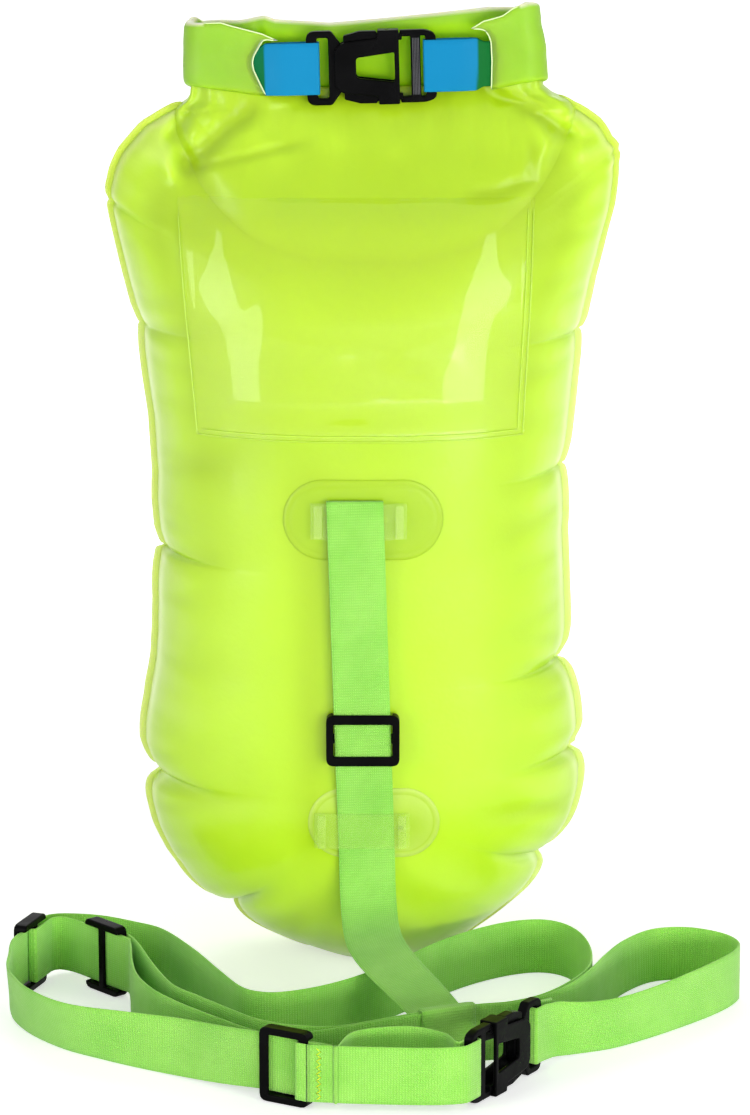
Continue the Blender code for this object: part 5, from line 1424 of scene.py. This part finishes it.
def collar_slant(x, z):
    """How far the right end leans out and the left end draws in."""
    return look(COLLAR_SLANT, z) * float(ease(x, 0.066, 0.090)) - 0.0012 * float(ease(-x, 0.070, 0.086))


def collar_tone(place, q, h, front):
    """Mottled film, pale at its cut and upper edges, deep along its lower edge and in the band's middle."""
    flap = q <= 1 or q >= 4
    tone = 0.5 + 0.125 * noise.noise(place * 22)
    if flap and front:
        tone += 0.55 * ease(h, 0.985, 1.0) + 0.50 * (1 - ease(min(q, 5 - q), 0.0, 0.025))
    if not flap:
        middle = ease(min(q - 2, 3 - q), 0.0, 0.12) * (1 - ease(h, 0.80, 0.95))
        tone += 0.60 * ease(h, 0.94, 1.0) - 0.45 * middle
    return tone - 0.28 * (1 - ease(h, 0.0, 0.10)) * (1 if flap else 0.6)


def make_collar():
    """The rolled and folded mouth of the bag, as one skin open at both flap ends."""
    qs = np.concatenate([np.linspace(a, b, n)[:-1] for a, b, n in COLLAR_STEPS] + [[5.0]])
    heights = 0.5 - 0.5 * np.cos(np.linspace(0, math.pi, 26))
    loop = [(1, h) for h in heights] + [(-1, h) for h in heights[::-1][1:-1]]
    verts, tones = [], []
    for q in qs:
        flap = q <= 1 or q >= 4
        end = min(q, 5 - q)
        band = ease(min(q - 1, 4 - q), 0.0, 1.0)
        thick = 0.0058 * (1 - band) + 0.0098 * band
        if flap:
            thick = 0.0036 + (thick - 0.0036) * ease(end, 0.0, 0.75)
        power = 16 if flap else 8 + 24 * math.exp(-(((q - 3.5) / 0.35) ** 2))
        for side, h in loop:
            x, y, low, high, out = collar_point(q, h)
            profile = (1 - abs(2 * h - 1) ** power) ** 0.5
            z = low + (high - low) * h
            x += collar_slant(x, z)
            place = Vector((x, y, z))
            soft = noise.noise(place * 55) * 0.0007 + noise.noise(place * 140 + Vector((3, 0, 0))) * 0.0003
            n = side * thick / 2 * profile + soft * profile * (0.4 if end < 0.1 else 1.0)
            if not flap:
                # one upright crease in the band behind
                n -= side * 0.0016 * math.exp(-(((x + 0.0535 + (z - 0.5) * 0.15) / 0.0022) ** 2)) * profile
            verts.append((x + out[0] * n, y + out[1] * n, z))
            tones.append(collar_tone(place, q, h, side > 0))
    size = len(loop)
    faces = [face for i in range(len(qs) - 1) for face in band_faces(i * size, (i + 1) * size, size)]
    # lips that turn in at both open ends
    for first, way in ((0, -1), ((len(qs) - 1) * size, 1)):
        faces += band_faces(first, len(verts), size)
        for x, y, z in verts[first:first + size]:
            verts.append((x + way * 0.0030, FLAP_Y + (y - FLAP_Y) * 0.62, z))
            tones.append(0.25)
    new_object("rolled_collar", verts, faces, ROLL, replaced=("roll_top",), tones=tones)


make_collar()


def make_cut_edge(name, cut, fold):
    """The cut edge of a flap: a thin pale bead up its cut end and along its upper edge to its fold."""
    points = []
    for h in np.linspace(0.02, 0.98, 24):
        x, y, low, high, _ = collar_point(cut, h)
        points.append((x, y - 0.0018, low + (high - low) * h))
    for q in np.linspace(cut, fold, 40)[1:]:
        x, y, _, high, _ = collar_point(q, 0.99)
        points.append((x, y - 0.0016, high - 0.0002))
    points = [(x + collar_slant(x, z), y, z) for x, y, z in points]
    thread(name, smooth_route(points, 0.0012), material=EDGE, slot="roll_film")


make_cut_edge("cut_edge_left", 0.0, 1.0)
make_cut_edge("cut_edge_right", 5.0, 4.0)


def make_tab(name, start, direction, end, node, blend_to=None, edge_x=None):
    """Smooth film tab round a buckle's end bar and back into the flap."""
    thick, width = 0.0009, 0.0275
    length = abs(end - start)
    squeeze = thick / 2 + GAP / 2
    reach = FRAME_HALF_THICK + GAP + thick / 2
    taper = length - 0.012
    turn = edge_turn(END_BAR, 1, FRAME_HALF_THICK, -FRAME_HALF_THICK, GAP + thick / 2)
    back = [(-length, squeeze), (GAP - taper, squeeze), (-taper / 2, reach)]
    front = [(-taper / 2, -reach), (GAP - taper, -squeeze), (-length, -squeeze)]

    def soft(points):
        return [tuple(p) for p in smooth_route(points, 0.0012)]

    plan = soft(back + turn[:2])[:-3] + turn[1:-1] + soft(turn[-2:] + front)[3:]
    middles = [COLLAR @ Vector((start + direction * x, FLAP_Y + y, 0.0136)) for x, y in plan]
    across = COLLAR.to_3x3() @ UP
    piece, _ = strap(name, middles, [across] * len(middles), TAB, width, thick, body=None, replaced=(node,),
                     wavy=0.00015)
    tones = []
    for v in piece.data.vertices:
        # the foot narrows a little, where the flap covers it
        inside = float(ease(direction * (edge_x - v.co.x), -0.001, 0.004))
        mid = (COLLAR @ Vector((v.co.x, 0.0, 0.0136))).z
        v.co.z = mid + (v.co.z - mid) * (1 - 0.14 * inside)
        tone = 0.5 + 0.14 * noise.noise(v.co * 30)
        # painted shade: the tab is made nearly black where the flap covers it
        painted_shade_under_flap = ease(direction * (edge_x - v.co.x), -0.0002, 0.0002)
        tones.append(tone * (1 - painted_shade_under_flap) + 0.02 * painted_shade_under_flap)
    set_tone(piece, tones)
    if blend_to:
        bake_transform(piece)
    else:
        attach(piece, "float")


make_tab("tab_left", -0.0292, 1, -0.0650, "left_tab", edge_x=-0.0515)
make_tab("tab_right", -0.0292 + BUCKLE_LENGTH, -1, 0.0785, "right_tab", "roll_clip", edge_x=0.0606)

# Clear pocket and welded patches


POCKET_SLACK = (
    (0.2999, 0.0020), (0.3100, 0.0045), (0.3450, 0.0025), (0.3800, 0.0015), (0.3950, 0.0030),
    (0.4075, 0.0065), (0.4180, 0.0080), (0.4280, 0.0070),
)


def make_pocket():
    """The clear pocket: a film sheet welded along its sides and foot, slack in the middle."""
    top, bottom = 0.4280, 0.2999
    left, right = (-0.0980, -0.0875), (0.0912, 0.0849)
    rows, columns = 96, 110
    flat, under, way = [], [], []
    for v in np.arange(rows + 1) / rows:
        x0 = left[0] + (left[1] - left[0]) * v
        x1 = right[0] + (right[1] - right[0]) * v
        z = top + (bottom - top) * v
        for c in range(columns + 1):
            x = x0 + (x1 - x0) * c / columns
            hit, normal = on_front(x, z)
            flat.append((x, z, min(x - x0, x1 - x, z - bottom, (top - z) + 0.004)))
            under.append(hit.y)
            way.append(normal)
    # slack film spans the creases: the surface below, smoothed out
    calm = np.array(under).reshape(rows + 1, columns + 1)
    for _ in range(260):
        wide = np.pad(calm, 1, mode="reflect", reflect_type="odd")
        calm = (wide[:-2, 1:-1] + wide[2:, 1:-1] + wide[1:-1, :-2] + wide[1:-1, 2:] + 2 * calm) / 6
    calm = calm.ravel()
    slacks = {z: look(POCKET_SLACK, z) for _, z, _ in flat}
    verts = []
    for layer in (0, 1):
        for (x, z, edge), y, span, normal in zip(flat, under, calm, way):
            span -= slacks[z]
            # two pressed lines along the weld, and an open edge that sinks to the body's film
            pressed = [math.exp(-(((edge - line) / 0.0007) ** 2)) for line in (0.0006, 0.0034)]
            lift = 0.0004 + 0.0005 * sum(pressed)
            lift -= 0.0016 * (1 - float(ease(top - z, 0.0, 0.007)))
            slack = float(ease(min(edge, 2.4 * (z - bottom)), 0.004, 0.022))
            wave = 0.0009 * noise.noise(Vector((x * 26, 4.0, z * 13)))
            wave += 0.0004 * noise.noise(Vector((x * 60, 9.0, z * 38)))
            place = Vector((x, y, z)) + normal * lift
            place.y = place.y * (1 - slack) + min(place.y, span - 0.0016 + wave) * slack + 0.00035 * layer
            verts.append(place)
    count = (rows + 1) * (columns + 1)
    faces = []
    for r in range(rows):
        for c in range(columns):
            a = r * (columns + 1) + c
            b = a + columns + 1
            faces.append((a, a + 1, b + 1, b))
            faces.append((count + a, count + b, count + b + 1, count + a + 1))
    rim = [(0, c, 0, c + 1) for c in range(columns)] + [(rows, c + 1, rows, c) for c in range(columns)]
    rim += [(r + 1, 0, r, 0) for r in range(rows)] + [(r, columns, r + 1, columns) for r in range(rows)]
    for r0, c0, r1, c1 in rim:
        a, b = r0 * (columns + 1) + c0, r1 * (columns + 1) + c1
        faces.append((b, a, count + a, count + b))
    new_object("pocket_film", verts, faces, CLEAR, replaced=("pocket_window",))


make_pocket()


def make_weld(name, start, end):
    """One raised line of the pocket's welded border."""
    points = []
    for t in np.linspace(0, 1, 60):
        hit, normal = on_front(start[0] + (end[0] - start[0]) * t, start[1] + (end[1] - start[1]) * t)
        points.append(hit + normal * 0.0010)
    thread(name, points, 0.00024, WELD, slot="clear_film")


make_weld("pocket_weld_left", (-0.0969, 0.4150), (-0.0870, 0.3010))
make_weld("pocket_weld_right", (0.0900, 0.4180), (0.0843, 0.3010))
make_weld("pocket_weld_right_inner", (0.0872, 0.4180), (0.0815, 0.3040))
make_weld("pocket_weld_foot", (-0.0868, 0.3006), (0.0841, 0.3006))
make_weld("pocket_weld_foot_inner", (-0.0840, 0.3034), (0.0815, 0.3034))


# Each ring's inset from the patch's edge, lift off the body and tone
RINGS = (
    (-0.0002, 0.0001, 0.46), (0.0, 0.0004, 0.46), (0.0006, 0.0006, 0.44), (0.0014, 0.0007, 0.42),
    (0.0024, 0.0007, 0.40), (0.0031, 0.0005, 0.34), (0.0038, 0.0007, 0.40), (0.0060, 0.0007, 0.40),
    (0.0100, 0.0007, 0.38), (0.0140, 0.0007, 0.36), (0.0180, 0.0007, 0.36),
)


def patch_ring(centre, straight, radius, steps=40):
    """Points of a long round outline: two half circles and the straight stretches between them."""
    ring = []
    for side, start in ((1, -math.pi / 2), (-1, math.pi / 2)):
        for k in range(steps + 1):
            a = start + math.pi * k / steps
            x = centre[0] + side * straight + radius * math.cos(a)
            ring.append((x, centre[1] + radius * math.sin(a)))
        if straight > 0:
            parts = max(2, int(straight * 2 / 0.002))
            x0, z0 = ring[-1]
            x1 = centre[0] - side * straight
            ring += [(x0 + (x1 - x0) * k / parts, z0) for k in range(1, parts)]
    return ring


def make_patch(name, node, centre, length, height, on, rings, painted_light_shift=0.0, closed=True):
    """A welded patch with round ends, its pressed line just inside the edge."""
    verts, tones, starts = [], [], []
    for inset, lift, tone in rings:
        starts.append(len(verts))
        for x, z in patch_ring(centre, (length - height) / 2, height / 2 - inset):
            hit, normal = on(x, z)
            verts.append(hit + normal * lift)
            # a shift of painted light, below zero painted shade, on every ring's tone
            tones.append(tone + painted_light_shift)
    size = starts[1]
    faces = [face for a, b in zip(starts, starts[1:]) for face in band_faces(a, b, size)]
    if closed:
        # the middle is closed by strips from side to side
        inner = starts[-1]
        half = size // 2
        for k in range(half):
            face = [inner + k, inner + k + 1]
            face += [inner + v % size for v in (2 * half - 2 - k, 2 * half - 1 - k)]
            face = list(dict.fromkeys(face))
            if len(face) > 2:
                faces.append(tuple(face))
    new_object(name, verts, faces, PATCH, replaced=(node,), tones=tones)


# painted shade makes the upper patch deeper and painted light makes the lower one paler
make_patch("patch_upper", "upper_anchor_patch", (0.0003, 0.2586), 0.0842, 0.0430, on_front, RINGS, -0.22)
make_patch("patch_lower", "lower_anchor_patch", (0.0060, 0.0925), 0.0700, 0.0385, on_front, RINGS, 0.20)
VALVE_RINGS = RINGS[:9] + ((0.0145, 0.0007, 0.4),)
make_patch("valve_patch", "valve_flange", (0.0, 0.3350), 0.0460, 0.0460, on_back, VALVE_RINGS, closed=False)

# Moulded pieces kept from the model


def polish(name, material, width):
    """Round a moulded piece's edges and give it its material."""
    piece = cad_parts[name]
    piece.data.materials.clear()
    piece.data.materials.append(material)
    weld = piece.modifiers.new("weld", "WELD")
    weld.merge_threshold = 0.00001
    flat = piece.modifiers.new("flat", "DECIMATE")
    flat.decimate_type = "DISSOLVE"
    flat.angle_limit = math.radians(2.0)
    if width:
        bevel = piece.modifiers.new("bevel", "BEVEL")
        bevel.width = width
        bevel.segments = 3
        bevel.limit_method = "ANGLE"
        bevel.angle_limit = math.radians(28)
        bevel.use_clamp_overlap = True
    normal = piece.modifiers.new("normal", "WEIGHTED_NORMAL")
    normal.keep_sharp = False
    piece.data.shade_smooth()


def mirrored(*upper):
    """An outline from its upper corners, with the lower ones as their mirror image."""
    return list(upper) + [(x, -z, r) for x, z, r in reversed(upper)]


def rounded(corners):
    """Points of an outline whose corners, as x, z and radius, are rounded."""
    points = []
    for i, (x, z, radius) in enumerate(corners):
        here = Vector((x, z))
        back, ahead = (Vector(corners[(i + k) % len(corners)][:2]) - here for k in (-1, 1))
        cut = min(radius, back.length / 2.01, ahead.length / 2.01)
        start, end = here + back.normalized() * cut, here + ahead.normalized() * cut
        steps = 8 if radius > 0.0004 else 1
        for t in np.linspace(0, 1, steps + 1):
            points.append(start * (1 - t) ** 2 + here * 2 * t * (1 - t) + end * t * t)
    return points


def plate(name, outlines, low, high, place, body="float", material=BLACK, edge=0.0006,
          replaced=()):
    """A moulded plate with rounded edges, between low and high in its own y. The outlines after its first are
    holes."""
    curve = bpy.data.curves.new(name, "CURVE")
    curve.dimensions, curve.fill_mode = "2D", "BOTH"
    curve.extrude, curve.offset = (high - low) / 2 - edge, -edge
    curve.bevel_depth, curve.bevel_resolution = edge, 2
    for corners in outlines:
        points = rounded(corners)
        spline = curve.splines.new("POLY")
        spline.points.add(len(points) - 1)
        for point, (x, z) in zip(spline.points, points):
            point.co = (x, z, 0, 1)
        spline.use_cyclic_u = True
    holder = bpy.data.objects.new(name + "_plan", curve)
    bpy.context.scene.collection.objects.link(holder)
    bpy.context.view_layer.update()
    flat = bpy.data.meshes.new_from_object(holder.evaluated_get(bpy.context.evaluated_depsgraph_get()))
    bpy.data.objects.remove(holder)
    bpy.data.curves.remove(curve)
    middle = (low + high) / 2
    verts = [place @ Vector((v.co.x, middle - v.co.z, v.co.y)) for v in flat.vertices]
    faces = [tuple(f.vertices) for f in flat.polygons]
    bpy.data.meshes.remove(flat)
    piece = new_object(name, verts, faces, material, body, replaced)
    made = bmesh.new()
    made.from_mesh(piece.data)
    bmesh.ops.remove_doubles(made, verts=made.verts, dist=0.000005)
    bmesh.ops.recalc_face_normals(made, faces=made.faces)
    made.to_mesh(piece.data)
    made.free()
    piece.modifiers.new("normal", "WEIGHTED_NORMAL").keep_sharp = False


SHELL_HALF_THICK, CAVITY_HALF_THICK, WALL_HALF_THICK = 0.0050, 0.0030, 0.0042
BUCKLE_HALF, WALL_INSIDE, MOUTH_WALL = 0.0196, 0.0181, 0.0379
SOCKET_FRAME = mirrored(
    (0.0, BUCKLE_HALF, 0.0050), (0.0132, BUCKLE_HALF, 0.0012), (0.0182, 0.0128, 0.0008),
    (0.0188, 0.0090, 0.0004), (0.0262, 0.0085, 0.0),
)
SOCKET_SLOT = mirrored((0.0057, 0.0160, 0.0014), (0.0117, 0.0160, 0.0014))
SOCKET_WINDOW = mirrored((0.0262, 0.0052, 0.0018), (0.0465, 0.0078, 0.0012))
SOCKET_SHELL = mirrored(
    (0.0150, 0.0100, 0.0030), (0.0190, 0.0134, 0.0020), (0.0375, 0.0152, 0.0004),
    (MOUTH_WALL, BUCKLE_HALF, 0.0008), (0.0490, BUCKLE_HALF, 0.0008),
)
PLUG_FRAME = mirrored(
    (0.0551, 0.0158, 0.0006), (0.0495, 0.0158, 0.0004), (0.0495, 0.0192, 0.0008),
    (0.0630, 0.0192, 0.0020), (0.0686, 0.0172, 0.0040),
)
PLUG_SLOT = mirrored((0.0603, 0.0160, 0.0008), (0.0629, 0.0160, 0.0008))
PLUG_RIBS, RIB_START, RIB_PITCH, RIB_WIDTH, RIB_HALF = 5, 0.0560, 0.0008, 0.0005, 0.0150


def make_buckle(name, place, plug_body):
    """A side-release buckle's two halves; the sprung arms stay the model's own."""
    half = FRAME_HALF_THICK
    plate(name + "_female_frame", (SOCKET_FRAME, SOCKET_SLOT), -half, half, place, edge=0.0009,
          replaced=(name + "_buckle_female",))
    shells = (("front", -SHELL_HALF_THICK, -CAVITY_HALF_THICK), ("back", CAVITY_HALF_THICK, SHELL_HALF_THICK))
    for side, low, high in shells:
        plate(f"{name}_female_{side}", (SOCKET_SHELL, SOCKET_WINDOW), low, high, place)
    for side, way in (("upper", 1), ("lower", -1)):
        inside, outside = way * WALL_INSIDE, way * BUCKLE_HALF
        wall = [(MOUTH_WALL, inside, 0.0003), (MOUTH_WALL, outside, 0.0006)]
        wall += [(0.0490, outside, 0.0006), (0.0490, inside, 0.0003)]
        plate(f"{name}_female_wall_{side}", (wall,), -WALL_HALF_THICK, WALL_HALF_THICK, place, edge=0.0003)
    plate(name + "_male_frame", (PLUG_FRAME, PLUG_SLOT), -half, half, place, plug_body, edge=0.0009,
          replaced=(name + "_buckle_male",))
    for k in range(PLUG_RIBS):
        x = RIB_START + RIB_PITCH * k
        rib = mirrored((x, RIB_HALF, 0.0001), (x + RIB_WIDTH, RIB_HALF, 0.0001))
        # the grey ribs are a painted highlight on the black grip
        plate(f"{name}_male_rib_{k}", (rib,), -half - 0.0003, -half + 0.0006, place, plug_body, GREY, 0.00015)


def make_bar_steps(bar):
    """The raised end steps of a clear bar."""
    low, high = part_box(bar)
    tall = (high[2] - low[2]) / 2 - 0.0007
    step = mirrored((-0.0022, tall, 0.0008), (0.0022, tall, 0.0008))
    for side, x in (("left", low[0] + 0.0040), ("right", high[0] - 0.0040)):
        place = Matrix.Translation((x, low[1] - 0.0003, (low[2] + high[2]) / 2))
        plate(f"{bar}_step_{side}", (step,), -0.0006, 0.0006, place, material=STEP, edge=0.0004)


make_buckle("roll", COLLAR @ Matrix.Translation((-0.0292, FLAP_Y, 0.0136)), "roll_clip")
make_buckle("waist", WAIST, "waist_clip")
for prong in ("roll_prong_upper", "roll_prong_lower", "waist_prong_upper", "waist_prong_lower"):
    polish(prong, BLACK, 0.0006)
for slider in ("leash_slider", "belt_slider_front", "belt_slider_left", "belt_slider_inner"):
    polish(slider, BLACK, 0.0008)
for bar in ("upper_anchor_loop", "lower_anchor_loop"):
    polish(bar, LOOP, 0.0005)
for bar in ("upper_anchor_loop", "lower_anchor_loop"):
    make_bar_steps(bar)
polish("roll_stiffener", PALE, 0.0003)
polish("valve_stem", LOOP, 0.0003)
polish("valve_flap", LOOP, 0.0)
polish("valve_plug", BLACK, 0.0004)
